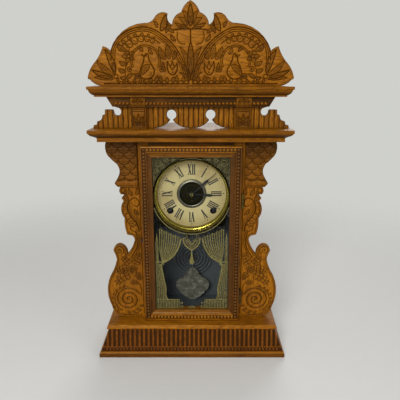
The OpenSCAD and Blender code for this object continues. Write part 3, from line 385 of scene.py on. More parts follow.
# Each finish with its maker and what the maker is given
FINISHES = {
    "oak x": (wood, "x", "oak_light", "oak_dark", "mould"),
    "oak z": (wood, "z", "oak_light", "oak_dark", "mould"),
    "oak carved, level": (wood, "x", "oak_light", "oak_dark", "carve"),
    "oak carved, upright": (wood, "z", "oak_light", "oak_dark", "carve"),
    "oak reeded": (wood, "z", "oak_light", "edge_dark", "reed"),
    "oak lined sides": (wood, "z", "oak_light", "oak_dark", None, "sides"),
    "oak lined floor": (wood, "x", "oak_light", "oak_dark", None, "floor"),
    # Bracket and cornice oak take the darker cornice colours: painted shade with a darker finish.
    "bracket oak": (wood, "z", "edge_light", "edge_dark", "carve"),
    "cornice oak": (wood, "x", "edge_light", "edge_dark", "mould"),
    # Dark oak for the bead strip behind the beads and the cross rails in the gap under the shelf: painted
    # shade.
    "strip oak": (wood, "x", "red_dark", "stain", "mould"),
    "red oak": (wood, "x", "red_light", "red_dark", "mould"),
    # Stiles and rails are one red oak; the rails take the lighter oak colours as painted light on their
    # upward faces.
    "red oak beaded z": (wood, "z", "red_light", "red_dark", "reed", None, 0.36),
    "red oak beaded x": (wood, "x", "oak_light", "oak_dark", "reed", None, 0.36),
    "base oak x": (wood, "x", "base_light", "base_dark", "mould"),
    "base oak y": (wood, "y", "base_light", "base_dark", "mould"),
    "base oak reeded": (wood, "z", "base_light", "base_dark", "reed"),
    "back board wood": (wood, "z", "back_wood", "oak_dark", None, "back"),
    # The movement's brass is darkened: painted shade inside the case, with tarnish.
    "movement brass": (metal, "dim_brass", "black", 0.42, 0.5),
    "polished brass": (metal, "brass", "tarnish", 0.08, 0.62),
    "hinge brass": (metal, "tarnish", "stain", 0.4, 0.4),
    "centre ring": (metal, "ring", "black", 0.3, 0.62),
    "bright steel": (metal, "steel", "iron", 0.3, 0.55),
    "bob metal": (metal, "bob", "ring", 0.62, 0.46),
    "black steel": (dark_metal, "black", 0.38),
    "cast iron": (dark_metal, "iron", 0.5),
    "dull gong": (dark_metal, "gong", 0.75, 0.0),
    "bezel brass": (bezel_brass,),
    "dial paper": (dial_paper,),
    "dial print": (print_ink,),
    "dull gilding": (gilding,),
    "gilt wash": (gilt_wash,),
    "clear glass": (clear_glass,),
}
PAINTS = {}


def finish(name):
    """The material of a finish, made when it is first asked for."""
    if name not in PAINTS:
        maker, *given = FINISHES[name]
        PAINTS[name] = maker(name, *given)
    return PAINTS[name]


# Drawing on a board: lines are arrays of (x, z) in mm


def spline(a, b, c, d, count):
    """Points of a smooth line from b up to c, with a before them and d after them."""
    t = np.linspace(0, 1, count, endpoint=False)[:, None]
    return 0.5 * (2 * b + (c - a) * t + (2 * a - 5 * b + 4 * c - d) * t ** 2
                  + (3 * b - a - 3 * c + d) * t ** 3)


def curve(*points, closed=False):
    """A smooth line through the points."""
    p = np.array(points, float)
    ends = (p[-1:], p[:2]) if closed else (2 * p[:1] - p[1:2], 2 * p[-1:] - p[-2:-1])
    p = np.vstack([ends[0], p, ends[1]])
    runs = [spline(a, b, c, d, max(2, int(np.linalg.norm(c - b) / STEP)))
            for a, b, c, d in zip(p, p[1:], p[2:], p[3:])]
    return np.vstack(runs + [p[-2:-1]])


def line(a, b):
    return np.linspace(a, b, max(2, int(math.dist(a, b) / STEP)))


def way(degrees):
    """Unit vectors at angles in degrees, anticlockwise from +x."""
    a = np.radians(degrees)
    return np.stack([np.cos(a), np.sin(a)], -1)


def arc(centre, radius, start=0, end=360):
    """A circular arc between two angles in degrees, or a whole circle."""
    count = max(4, int(abs(end - start) * radius / 57.3 / STEP))
    return np.array(centre) + radius * way(np.linspace(start, end, count))


def spiral(centre, start_r, end_r, start, turns):
    """A spiral between two radii from an angle in degrees; turns below 0 wind clockwise."""
    t = np.linspace(0, 1, max(12, int(abs(turns) * 3.2 * (start_r + end_r) / STEP)))
    return np.array(centre) + (start_r + (end_r - start_r) * t)[:, None] * way(start + t * turns * 360)


def normals(path):
    """Unit normals to the left of a line."""
    t = np.gradient(path, axis=0)
    t /= np.maximum(np.linalg.norm(t, axis=1, keepdims=True), 1e-9)
    return np.column_stack([-t[:, 1], t[:, 0]])


def beside(path, offset):
    return path + normals(path) * offset


def mirrored(path):
    return path * np.array([-1.0, 1.0])


class Drawing:
    """The carved lines of one board, by weight."""
    WEIGHTS = ("bold", "mid", "fine", "pit")

    def __init__(self):
        self.lines = {w: [] for w in self.WEIGHTS}

    def cut(self, weight, *paths):
        self.lines[weight] += [np.asarray(p, float) for p in paths]

    def leaf(self, base, tip, width, bend=0.0, veins=4, weight="mid"):
        """A leaf with its midrib and slanted veins; bend bows it to its left, as a share of its length."""
        base, tip = np.array(base, float), np.array(tip, float)
        along = tip - base
        size = np.linalg.norm(along)
        side = np.array([-along[1], along[0]]) / size
        f = np.linspace(0, 1, max(12, int(size / STEP)))[:, None]
        spine = base + f * along + side * (4 * bend * size * f * (1 - f))
        half = width / 2 * np.sin(np.pi * f ** 0.85) ** 0.85
        self.cut(weight, spine + side * half, spine - side * half)
        self.cut("fine", spine[len(f) // 10: -len(f) // 8])
        for k in range(veins):
            i = int((0.12 + 0.6 * k / max(1, veins)) * (len(f) - 1))
            j = min(len(f) - 1, i + int(0.2 * len(f)))
            for s in (-1, 1):
                self.cut("fine", line(spine[i], spine[j] + s * 0.8 * half[j] * side))

    def frond(self, path, size, count, sides=(1, -1)):
        """A leafy stem: rounded lobes with a vein along a line, on its left, its right or both, smaller
        towards its tip."""
        self.cut("mid", path)
        left = normals(path)
        for side in sides:
            for k in range(count):
                i = int((k + 0.3) / (count + 0.4) * (len(path) - 1))
                reach = size * (1 - 0.5 * k / count)
                out, ahead = reach * side * left[i], reach * np.array([left[i][1], -left[i][0]])
                root, tip = path[i], path[i] + 0.95 * out + 0.75 * ahead
                self.cut("mid", curve(root, root + 0.62 * out - 0.05 * ahead, root + out + 0.3 * ahead, tip),
                         curve(tip, root + 0.5 * out + 0.85 * ahead, root + 0.08 * out + 0.8 * ahead))
                self.cut("fine", line(root + 0.12 * out + 0.15 * ahead, root + 0.72 * out + 0.55 * ahead))

    def leaves(self, *rows):
        for row in rows:
            self.leaf(*row)

    def petals(self, centre, inner, outer, width, angles, veins=0):
        """Petals round a centre at the given angles in degrees, with one outer radius or one each."""
        for angle, reach in zip(angles, np.broadcast_to(outer, len(angles))):
            self.leaf(centre + way(angle) * inner, centre + way(angle) * reach, width, 0.0, veins)

    def volute(self, centre, radius, start, turns):
        """A spiral that ends in a pit."""
        self.cut("mid", spiral(centre, radius, radius * 0.16, start, turns))
        self.cut("pit", [centre])

    def flip(self):
        out = Drawing()
        out.lines = {weight: [mirrored(p) for p in paths] for weight, paths in self.lines.items()}
        return out

    def doubled(self):
        """This drawing and its mirror image."""
        out = self.flip()
        for weight, paths in self.lines.items():
            out.lines[weight] += paths
        return out


# Meshes


def pick(*pieces):
    """Selects these pieces alone, or none, and makes the first one active."""
    bpy.ops.object.select_all(action="DESELECT")
    for piece in pieces:
        piece.select_set(True)
    if pieces:
        bpy.context.view_layer.objects.active = pieces[0]


OUTWARD = (bpy.ops.mesh.normals_make_consistent, {"inside": False})


def edit(*steps):
    """Runs mesh operators with their settings on the active piece, each with all of it selected."""
    bpy.ops.object.mode_set(mode="EDIT")
    for operator, settings in steps:
        bpy.ops.mesh.select_all(action="SELECT")
        operator(**settings)
    bpy.ops.object.mode_set(mode="OBJECT")


def new_piece(name, verts, faces):
    """A new mesh object at the origin from points in metres, selected alone."""
    mesh = bpy.data.meshes.new(name)
    mesh.from_pydata([tuple(v) for v in verts], [], faces)
    mesh.validate()
    piece = bpy.data.objects.new(name, mesh)
    bpy.context.scene.collection.objects.link(piece)
    pick(piece)
    return piece


def settle(piece, name, body, slot, look, *nodes):
    """Names a piece, sets it at the origin, gives it a finish and makes it ride on its body."""
    pick(piece)
    bpy.ops.object.transform_apply(location=True, rotation=True, scale=True)
    piece.name = piece.data.name = name
    piece.data.materials.clear()
    piece.data.materials.append(finish(look))
    if nodes:
        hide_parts(*nodes)
    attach(piece, body)


def applied(piece, kind, **settings):
    """Adds a modifier to the active piece and applies it."""
    modifier = piece.modifiers.new(kind.title(), kind)
    for key, value in settings.items():
        setattr(modifier, key, value)
    bpy.ops.object.modifier_apply(modifier=modifier.name)


def repeated(piece, count, step):
    """Sets copies of the active piece in a row, each a step in metres from the last."""
    applied(piece, "ARRAY", count=count, use_relative_offset=False, use_constant_offset=True,
            constant_offset_displace=step)


def set_shade_and_stain(piece, values):
    """Sets the attribute that darkens a piece with stain and painted shade."""
    layer = piece.data.attributes.new("carve", "FLOAT", "POINT")
    layer.data.foreach_set("value", np.asarray(values, np.float32))


def front_loops(node, depth=None, side="front"):
    """The outlines, in mm and anticlockwise, of a CAD node's flat face: its front, its back or the front
    one at a depth."""
    mesh = frame["nodes"][node].data
    co = np.array([v.co for v in mesh.vertices]) / MM
    facing = -1 if side == "front" else 1
    plane = y_at(depth) / MM if depth else facing * (facing * co[:, 1]).max()
    follow = {}
    for tri in mesh.polygons:
        ids = list(tri.vertices)
        if np.abs(co[ids, 1] - plane).max() > 0.01 or tri.normal.y * facing < 0.5:
            continue
        keys = [(round(co[i, 0], 3), round(co[i, 2], 3)) for i in ids[::-facing]]
        for a, b in zip(keys, keys[1:] + keys[:1]):
            if (b, a) in follow:
                del follow[(b, a)]
            else:
                follow[(a, b)] = True
    after = {a: b for a, b in follow}
    loops = []
    while after:
        start = point = next(iter(after))
        loop = []
        while point in after:
            loop.append(point)
            point = after.pop(point)
        if point == start and len(loop) > 2:
            loops.append(np.array(loop))
    return sorted(loops, key=lambda l: -abs(area(l)))


def area(loop):
    x, z = loop[:, 0], loop[:, 1]
    return 0.5 * float(np.sum(x * np.roll(z, -1) - np.roll(x, -1) * z))


def smooth_loop(loop, step):
    """A closed outline resampled through its points; corners and long straight runs stay."""
    before, after = np.roll(loop, 1, 0), np.roll(loop, -1, 0)
    u, v = loop - before, after - loop
    turn = np.degrees(np.abs(np.arctan2(u[:, 0] * v[:, 1] - u[:, 1] * v[:, 0], (u * v).sum(1))))
    sharp, size = turn > CORNER, [np.linalg.norm(run) for run in v]
    out = []
    for i, (b, c) in enumerate(zip(loop, after)):
        j = (i + 1) % len(loop)
        a = 2 * b - c if sharp[i] or max(size[i], size[i - 1]) > LONG_RUN else before[i]
        d = 2 * c - b if sharp[j] or max(size[i], size[j]) > LONG_RUN else after[j]
        out.append(spline(a, b, c, d, max(1, math.ceil(size[i] / step))))
    return np.vstack(out)


def distance(points, targets):
    """The distance from each point to the nearest target."""
    tree = KDTree(len(targets))
    for i, (x, z) in enumerate(targets):
        tree.insert((x, z, 0.0), i)
    tree.balance()
    return np.array([tree.find((x, z, 0.0))[2] for x, z in points])


def inside(points, loop):
    """Even-odd test of points against a closed outline."""
    hit = np.zeros(len(points), bool)
    for (ax, az), (bx, bz) in zip(loop, np.roll(loop, -1, 0)):
        if az != bz:
            cross = (points[:, 1] > az) != (points[:, 1] > bz)
            hit ^= cross & (points[:, 0] < (bx - ax) * (points[:, 1] - az) / (bz - az) + ax)
    return hit


EDGE_RINGS = (0.08, 0.3, 0.62, 1.0)     # rings of points along a carved edge, in shares of its radius
LINE_REACH, BORDER_REACH = 1.9, 1.8     # mm beside a line, or the border, where the points are close


def triangulated(points, rim):
    """Triangles over points, of which the first rim ones are the outline in its order."""
    return delaunay_2d_cdt([Vector(p) for p in points], [(i, (i + 1) % rim) for i in range(rim)], [], 1, 1e-5)


def carved_board(loop, front, back, drawing, swell=0.45, border=None, form=None, step=None, painted_shade=None):
    """Points, faces and stain with painted shade of a board with a carved face. front and back are depths in
    mm from the back of the case. swell is how far, in mm, the face sinks towards its lines. border is
    (distance from the edge, test of a point) for a line that follows the outline, form gives points a height
    in mm, and the last argument gives points a painted shade of their own."""
    s = sizes()
    step = step or s.carve_step / MM
    # half width in mm, depth in mm and darkness of each weight of line: stain with painted shade in its
    # groove
    cuts = {"bold": (0.66, s.bold_depth / MM, 1.0), "mid": (0.5, s.mid_depth / MM, 0.92),
            "fine": (0.43, s.fine_depth / MM, 0.65), "pit": (1.0, s.bold_depth / MM * 1.15, 1.0)}
    round_r = s.edge_round / MM
    edge, near_edge = smooth_loop(loop, 0.8), smooth_loop(loop, 0.3)
    inward = normals(np.vstack([edge[-1:], edge, edge[:1]]))[1:-1]
    rings = []
    for share in EDGE_RINGS:
        ring = edge + inward * (share * round_r)
        rings.append(ring[distance(ring, near_edge) > 0.93 * (share * round_r)])
    low, high = edge.min(0), edge.max(0)
    gx, gz = np.meshgrid(np.arange(low[0], high[0], step), np.arange(low[1], high[1], step * 0.866))
    gx[1::2] += step / 2
    coarse = np.zeros(gx.shape, bool)
    coarse[::2, ::2] = True
    grid = np.column_stack([gx.ravel(), gz.ravel()])
    keep = inside(grid, loop)
    grid, coarse = grid[keep], coarse.ravel()[keep]
    lines = [p for paths in drawing.lines.values() for p in paths]
    near = distance(grid, np.vstack(lines)) < LINE_REACH if lines else np.full(len(grid), True)
    off = distance(grid, near_edge)
    if border:
        near |= np.abs(off - border[0]) < BORDER_REACH
    grid = grid[(off > round_r * 1.25) & (near | coarse)]
    n = len(edge)
    made = triangulated(np.vstack([edge, *rings, grid]), n)
    points = np.array([tuple(v) for v in made[0]])
    off = distance(points, near_edge)
    drop = np.where(off < round_r, round_r - np.sqrt(np.maximum(0, round_r ** 2 - (round_r - off) ** 2)), 0)
    groove, hug, stain = np.zeros((3, len(points)))
    # The lines are darkened: stain in the grooves, with painted shade.
    for weight, (half, depth, dark) in cuts.items():
        if drawing.lines[weight]:
            far = distance(points, np.vstack(drawing.lines[weight]))
            trace = np.exp(-(far / half) ** 2)
            groove = np.maximum(groove, depth * trace)
            hug = np.maximum(hug, np.exp(-(far / 2.3) ** 2) * (0.3 if weight == "fine" else 1.0))
            stain = np.maximum(stain, dark * np.clip(1.5 * trace, 0, 1))
    if border:
        trace = border[1](points) * np.exp(-((off - border[0]) / 0.7) ** 2)
        groove, stain = np.maximum(groove, trace), np.maximum(stain, 0.9 * trace)
    rise = form(points) if form else np.zeros(len(points))
    height = rise - drop - groove - swell * hug
    # Darker in the low parts of a form, between the reeds, as stain with painted shade, and faintly beside
    # the lines as painted shade.
    stain = 0.95 * np.maximum(stain, np.maximum(np.clip((-rise - 0.3) / 0.9, 0, 1), 0.1 * hug))
    # Darker within about 5 mm of the outline: painted shade on the rounded edge, with grime.
    stain = np.maximum(stain, np.maximum(0.6 * np.exp(-(off / 1.2) ** 2), 0.3 * np.exp(-(off / 5) ** 2)))
    # A painted shade of the piece's own, such as a shelf's shadow.
    if painted_shade:
        stain = np.maximum(stain, painted_shade(points))
    place = {source: i for i, sources in enumerate(made[3]) for source in sources if source < n}
    face = np.column_stack([points[:, 0] * MM, y_at(front) - height * MM, points[:, 1] * MM])
    rear = np.column_stack([edge[:, 0] * MM, np.full(n, y_at(back)), edge[:, 1] * MM])
    first = len(face)
    faces = [list(f) for f in made[2]]
    for i in range(n):
        j = (i + 1) % n
        faces.append([place[i], first + i, first + j, place[j]])
    rear_made = triangulated(edge, n)
    names = [sources[0] for sources in rear_made[3]]
    faces += [[first + names[i] for i in reversed(f)] for f in rear_made[2]]
    return np.vstack([face, rear]), faces, np.concatenate([stain, np.zeros(n)])


def carve(name, boards, body, slot, look, *nodes):
    """One carved piece from one or more boards."""
    verts, faces, stain = [], [], []
    count = 0
    for v, f, c in boards:
        verts.append(v)
        faces += [[i + count for i in face] for face in f]
        stain.append(c)
        count += len(v)
    piece = new_piece(name, np.vstack(verts), faces)
    set_shade_and_stain(piece, np.concatenate(stain))
    bpy.ops.object.shade_smooth_by_angle(angle=SHARP)
    settle(piece, name, body, slot, look, *nodes)


def ribbon(path, start, end=None):
    """The quads of a strip along a line, with its width at the start and end."""
    end = start if end is None else end
    side = normals(path) * np.linspace(start / 2, end / 2, len(path))[:, None]
    left, right = path + side, path - side
    return [np.array([right[i], right[i + 1], left[i + 1], left[i]]) for i in range(len(path) - 1)]


def thin(path, step):
    """A line with fewer points, about step apart."""
    keep = max(1, int(step / STEP))
    return np.vstack([path[:-1:keep], path[-1:]])


def printed(name, outlines, depth, thickness, body, slot, look):
    """Flat shapes laid together as one thin sheet on a plane at a depth, growing towards the front."""
    points, faces = [], []
    for outline in outlines:
        if area(outline) < 0:
            outline = outline[::-1]
        faces.append(list(range(len(points), len(points) + len(outline))))
        points += [Vector(p) for p in outline]
    made = delaunay_2d_cdt(points, [], faces, 0, 1e-4)
    kept = [list(f) for f, source in zip(made[2], made[5]) if source]
    piece = new_piece(name, [(p[0] * MM, y_at(depth), p[1] * MM) for p in made[0]], kept)
    edit((bpy.ops.mesh.delete_loose, {}), (bpy.ops.mesh.dissolve_limited, {"angle_limit": math.radians(0.5)}))
    applied(piece, "SOLIDIFY", thickness=thickness, offset=1.0)
    settle(piece, name, body, slot, look)


def rectangle(x0, z0, x1, z1):
    return np.array([(x0, z0), (x1, z0), (x1, z1), (x0, z1)])


def everywhere(points):
    """A test of points that all of them pass."""
    return np.ones(len(points))


# The clock's own drawings


def crest_drawing():
    """The crest's lines: a lily between two leafy bands, a bird and a tulip under each, leafy ears, a leafy
    foot and the tip."""
    half = Drawing()
    band = curve((-127, 522), (-125.5, 537), (-119, 549.5), (-108, 560), (-94, 567.3), (-78, 570.6),
                 (-63, 569), (-50, 563), (-38, 554.5), (-28, 545), (-19.5, 533.5), (-12, 520), (-7, 507),
                 (-4, 496))
    half.cut("bold", band)
    half.cut("mid", beside(band, -3.0), beside(band, -6.0))
    half.cut("fine", beside(band, -8.6)[int(len(band) * 0.55):])
    # the leaves under the band
    spray = beside(band, -13.0)[int(len(band) * 0.1): int(len(band) * 0.62)]
    half.frond(spray, 6.0, 7, (1,))
    half.frond(spray, 12.0, 6, (-1,))
    # the arch and the bird under it
    half.cut("mid", arc((-72, 520), 24, 205, -25), arc((-72, 520), 21.4, 205, -25))
    half.volute((-97.5, 506.5), 5.0, 40, 1.6)
    half.volute((-47, 506.5), 5.0, 140, -1.6)
    half.cut("bold", curve((-70.6, 530.8), (-67.6, 528.6), (-66.8, 523), (-63.4, 515), (-58.6, 506),
                           (-60, 497.6), (-66, 492.8), (-74, 492.2), (-80.4, 495), (-81.6, 502),
                           (-79.6, 510), (-75.6, 518), (-74, 526), closed=True))
    half.cut("mid", curve((-73.6, 528.8), (-78.4, 529), (-74, 526)))
    half.cut("pit", [(-71, 527.6)])
    half.leaf((-65.5, 514.5), (-78.5, 498), 9.5, -0.1, 5)
    for k in range(3):
        half.leaf((-80, 497 - k), (-91, 499 - 3.6 * k), 3.2, -0.08, 2)
        half.cut("fine", arc((-66, 503 - 3 * k), 3.4, 250, 350))
    # the flower and the leaves round the bird
    half.petals((-99, 527), 2.4, 10.6, 6.4, (38, 110, 182, 254, 326), 2)
    half.cut("mid", arc((-99, 527), 2.2), curve((-101, 516), (-105, 507), (-105, 497), (-101, 488)))
    half.leaves(((-104, 535), (-116, 546), 8.4, 0.1, 4), ((-102, 514), (-114, 519), 6.4, 0.1, 3),
                ((-105, 504), (-116, 507), 6.4, 0.12, 3), ((-104, 494), (-114, 494), 5.6, 0.1, 3),
                ((-103, 492), (-92, 500), 5.6, 0.1, 3), ((-84, 541), (-76, 534), 5, 0.12, 3),
                ((-61, 530), (-66, 540), 5, 0.1, 3))
    # the tulip beside the lily, with its leaves
    half.cut("bold", curve((-37, 519), (-37.6, 509), (-34.4, 501), (-29.5, 498.6), (-24.6, 501), (-21.6, 508),
                           (-22, 516)))
    half.cut("mid", curve((-37, 519), (-33, 511), (-29.6, 506)), curve((-22, 516), (-26, 510), (-29.6, 506)),
             curve((-33, 511), (-30.6, 515), (-29.4, 520), (-28, 515), (-26, 510)))
    half.cut("pit", [(-29.5, 502.6)])
    half.leaves(((-40, 522), (-50, 541), 9.0, 0.08, 6), ((-34, 523), (-37.5, 545), 9.0, 0.0, 6),
                ((-28, 522), (-24.5, 535), 6.4, -0.06, 4), ((-41, 503), (-44.5, 518), 5.0, 0.08, 3),
                ((-1.5, 496), (-17, 541), 9.5, -0.1, 8), ((-3, 490), (-20, 519), 5.4, -0.12, 5),
                ((-3, 487.5), (-18, 502), 4.6, -0.14, 3))
    # the ears
    half.leaves(((-122, 500), (-136, 537), 9.0, -0.06, 5, "bold"), ((-124, 498), (-150, 521), 8.5, 0.08, 5),
                ((-126, 495), (-158, 505.5), 8.0, 0.06, 5, "bold"), ((-125, 492), (-155, 494), 6.5, -0.03, 4),
                ((-122, 503), (-124, 518), 5, 0.05, 3))
    half.cut("mid", arc((-120.5, 496), 3.2))
    # the foot
    half.cut("bold", line((-140, 484.6), (-3, 484.6)))
    for k in range(13):
        x = -117 + 8.8 * k
        tall, veins = (6.5, 1) if k < 6 else (10.5, 3)
        tip = (x + 3.0 * math.sin(2.1 * k), 485.4 + tall + 1.6 * math.cos(1.7 * k))
        half.leaf((x, 485.4), tip, 0.55 * tall, 0.08, veins)
        half.cut("mid", arc((x + 4.4, 485.2), 0.4 * tall, 180, 0))
    # the shoulder leaves, the rail under the tip and the tip
    half.cut("bold", curve((-27, 566.4), (-14, 568), (0, 568)))
    half.cut("mid", curve((-20.5, 563.5), (-21, 553.5), (-16, 546.5), (-9, 545)))
    half.leaves(((-46.5, 565), (-39, 588.5), 9.5, -0.08, 5, "bold"), ((-39, 562), (-29.5, 574), 5, 0.1, 3),
                ((-37.5, 572), (-34.6, 586), 4, -0.08, 2), ((-52, 570), (-57, 579), 4.5, -0.1, 3),
                ((-24, 550), (-31, 560), 5, 0.1, 3), ((-26, 562), (-38, 567.5), 4.6, -0.1, 3),
                ((-3, 575), (-11, 594), 7.5, -0.1, 4), ((-4.5, 573), (-18, 584.5), 7.5, -0.1, 4),
                ((-5.5, 571.6), (-24, 576.6), 5.5, 0.1, 4), ((-3, 569.6), (-17, 571.4), 4, 0.06, 3))
    whole = half.doubled()
    whole.leaves(((0, 497), (0, 549), 10, 0, 8, "bold"), ((0, 572), (0, 605), 8.5, 0, 6, "bold"))
    whole.cut("bold", arc((0, 486.5), 4.5, 180, 0), line((0, 491), (0, 497)), line((0, 549), (0, 568)))
    return whole


def fret_drawing():
    """The left fret's lines."""
    d = Drawing()
    eye = (-117, 99)
    d.cut("bold", spiral(eye, 24, 3.6, 25, 2.35))
    d.cut("fine", spiral(eye, 21.8, 5.2, 25, 1.9))
    d.cut("mid", arc(eye, 2.2))
    d.frond(arc(eye, 25.4, 240, 88), 5.8, 8, (1,))
    d.cut("mid", curve((-146, 84), (-139, 73.5), (-124, 67.8), (-106, 68.4), (-93, 77)))
    for a in (265, 285, 305, 325):
        d.leaf(eye + way(a) * 25, eye + way(a) * 31.5 + 4.5 * way(a + 90), 4.4, 0.12, 2)
    d.volute((-104.5, 132), 6.2, 210, -1.7)
    d.cut("mid", curve((-98.6, 133), (-94, 127), (-92, 117), (-93, 106)))
    flower = (-107, 159)
    d.petals(flower, 2.8, 9.0, 5.2, (18, 78, 138, 198, 258, 318), 2)
    d.cut("mid", arc(flower, 2.4))
    d.cut("pit", [flower])
    for stem, size, count in ((((-113, 150), (-121, 146), (-131, 139), (-139, 127)), 9.0, 4),
                              (((-116, 160), (-125, 159), (-136, 153)), 8.5, 3),
                              (((-103, 168), (-98, 177), (-93, 192)), 7.5, 4),
                              (((-112, 168), (-118, 176), (-126, 184)), 7.5, 3),
                              (((-101, 151), (-96, 145), (-92.5, 137)), 5.5, 3)):
        d.frond(curve(*stem), size, count)
    d.volute((-130, 195.5), 8.8, 300, 1.7)
    d.cut("mid", curve((-119, 191), (-116.5, 182), (-111.5, 173)))
    neck = curve((-99, 231), (-95.5, 216), (-97.5, 202), (-103, 191), (-109.5, 181))
    d.cut("bold", neck)
    d.cut("mid", beside(neck, 3.0))
    d.cut("fine", beside(neck, 5.4))
    scroll = curve((-92, 232), (-96, 247), (-106, 260), (-111.5, 274), (-107, 288), (-97.5, 293), (-91, 286),
                   (-93.5, 278), (-100, 279))
    d.cut("bold", scroll)
    rise = scroll[: int(len(scroll) * 0.62)]
    d.cut("mid", beside(rise, -2.8))
    d.cut("fine", beside(rise, -5.2)[8:], beside(rise, -7.6)[int(len(rise) * 0.25):])
    d.frond(beside(rise, 1.2), 13.0, 6, (1,))
    d.leaves(((-110, 286), (-120.5, 303), 7, -0.06, 5), ((-102, 297), (-108, 310), 6, 0.08, 4),
             ((-95, 298), (-93, 311), 6, -0.08, 4), ((-113, 296), (-114, 309), 5, 0.05, 3),
             ((-92, 262), (-100, 273), 5, 0.1, 4))
    d.cut("mid", line((-89, 70), (-89, 312)))
    return d


def scale_drawing(low, high):
    """Fish scales hung in rows between small pits, over a plain band, on the left bracket."""
    d = Drawing()
    pitch, row = 19.6, 9.5
    for k in range(7):
        z = high[1] - 4.5 - row * k
        if z < low[1] + 15:
            break
        for i in range(-1, 5):
            x = high[0] - 2.5 - pitch * (i + (0.5 if k % 2 else 0.0))
            d.cut("pit", [(x, z)])
            for drop, weight in ((6.6, "mid"), (3.4, "fine")):
                d.cut(weight, curve((x, z), (x - pitch * 0.2, z - drop * 0.75), (x - pitch * 0.5, z - drop),
                                    (x - pitch * 0.8, z - drop * 0.75), (x - pitch, z)))
    for z, weight in ((low[1] + 2.6, "fine"), (low[1] + 12.5, "mid")):
        d.cut(weight, line((low[0], z), (high[0], z)))
    return d


def block_drawing(x, low, high):
    """A lotus under two bars on a pilaster block."""
    d = Drawing()
    d.cut("mid", line((x - 9, high - 5), (x + 9, high - 5)), line((x - 9, high - 8), (x + 9, high - 8)))
    foot = low + 5
    d.petals((x, foot), 1.5, (14, 17.5, 19, 17.5, 14), 5.2, (32, 61, 90, 119, 148), 3)
    d.cut("mid", arc((x, foot), 3.2, 180, 0))
    for s in (-1, 1):
        d.volute((x + s * 7.2, foot + 1.2), 2.6, 90, s * -1.3)
    return d


def head_drawing(x, low, high):
    """Two scrolls and a bud on the head of a pilaster block, before the bead strip."""
    d = Drawing()
    d.cut("mid", line((x - 12, low + 2.6), (x + 12, low + 2.6)))
    for s in (-1, 1):
        d.volute((x + s * 6.4, low + 8.2), 3.6, 90, s * 1.4)
    d.leaf((x, low + 4.6), (x, high - 2.6), 3.2, 0, 2)
    return d


# Operators, one for each piece or group of like pieces


class CLOCK_OT_carve_crest(bpy.types.Operator):
    """Carve the crest with its bands, birds, tulips and lily"""
    bl_idname = "clock.carve_crest"
    bl_label = "Carve crest"

    def execute(self, context):
        board = carved_board(front_loops("crest")[0], *FRONT_BOARD, crest_drawing())
        carve("crest_carved", [board], "case", "oak", "oak carved, level", "crest")
        return {"FINISHED"}


class CLOCK_OT_carve_frets(bpy.types.Operator):
    """Carve the two side frets with volute, flower and leaves"""
    bl_idname = "clock.carve_frets"
    bl_label = "Carve side frets"

    def execute(self, context):
        left = fret_drawing()
        border = (3.4, lambda p: (np.abs(p[:, 0]) > 92) & (p[:, 1] > 66) & (p[:, 1] < 312))
        for node, drawing in (("left_fret", left), ("right_fret", left.flip())):
            board = carved_board(front_loops(node)[0], *FRONT_BOARD, drawing, border=border)
            carve(node + "_carved", [board], "case", "oak", "oak carved, upright", node)
        return {"FINISHED"}


class CLOCK_OT_carve_brackets(bpy.types.Operator):
    """Carve the fish scales of the two brackets under the shelf"""
    bl_idname = "clock.carve_brackets"
    bl_label = "Carve scale brackets"

    def execute(self, context):
        boards = []
        for loop in front_loops("scale_brackets")[:2]:
            is_left, top = loop[:, 0].mean() < 0, loop[:, 1].max()
            left = loop if is_left else mirrored(loop)
            drawing = scale_drawing(left.min(0), left.max(0))
            # Each bracket darkens towards its top: painted shadow of the shelf.
            boards.append(carved_board(loop, 102, 94, drawing if is_left else drawing.flip(), 0.7,
                                       painted_shade=lambda p: 0.9 * np.clip((p[:, 1] - top + 62) / 55, 0, 1)))
        carve("scale_brackets_carved", boards, "case", "oak", "bracket oak", "scale_brackets")
        return {"FINISHED"}


class CLOCK_OT_carve_blocks(bpy.types.Operator):
    """Carve a lotus on the two pilaster blocks of the frieze and scrolls on their heads"""
    bl_idname = "clock.carve_blocks"
    bl_label = "Carve pilaster blocks"

    def execute(self, context):
        boards = []
        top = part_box("bead_strip")[1].z / MM
        lap, gap, grain = 0.2, 0.02, 0.5
        for loop in front_loops("frieze_blocks")[:2]:
            (x0, z0), (x1, z1) = loop.min(0), loop.max(0)
            x = (x0 + x1) / 2
            block = rectangle(x0 - lap, z0 + gap, x1 + lap, z1 - gap)
            head = rectangle(x0 - lap, z1 - gap, x1 + lap, top - gap)
            boards += [carved_board(block, 102.6, 100.2, block_drawing(x, z0, z1), 0.3, (2.4, everywhere),
                                    step=grain),
                       carved_board(head, 107.6, 101.5, head_drawing(x, z1, top), 0.3, step=grain)]
        carve("pilaster_carving", boards, "case", "oak", "bracket oak")
        return {"FINISHED"}


class CLOCK_OT_reed_frieze(bpy.types.Operator):
    """Reed the frieze board round its keyholes"""
    bl_idname = "clock.reed_frieze"
    bl_label = "Reed frieze"

    def execute(self, context):
        low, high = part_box("frieze_board")
        width = (high.x - low.x) / MM
        pitch = width / round(width / (sizes().reed_pitch / MM))

        def reeds(p):
            across = 2 * np.mod((p[:, 0] - low.x / MM) / pitch, 1.0) - 1
            return sizes().reed_relief / MM * (np.sqrt(1 - (0.985 * across) ** 2) - 1)

        outline = front_loops("frieze_board", side="back")[0]
        board = carved_board(outline, *FRONT_BOARD, Drawing(), 0.0, form=reeds, step=0.62)
        carve("frieze_reeded", [board], "case", "oak", "oak reeded", "frieze_board")
        return {"FINISHED"}


def shade_by_recess(piece, depth_of):
    """Darkens a piece by the recess, in mm, of its points behind its front: painted shade in its hollows,
    with stain.
    """
    co = np.array([v.co for v in piece.data.vertices]) / MM
    set_shade_and_stain(piece, np.clip((depth_of(co) - 0.3) / 1.2, 0, 0.95))


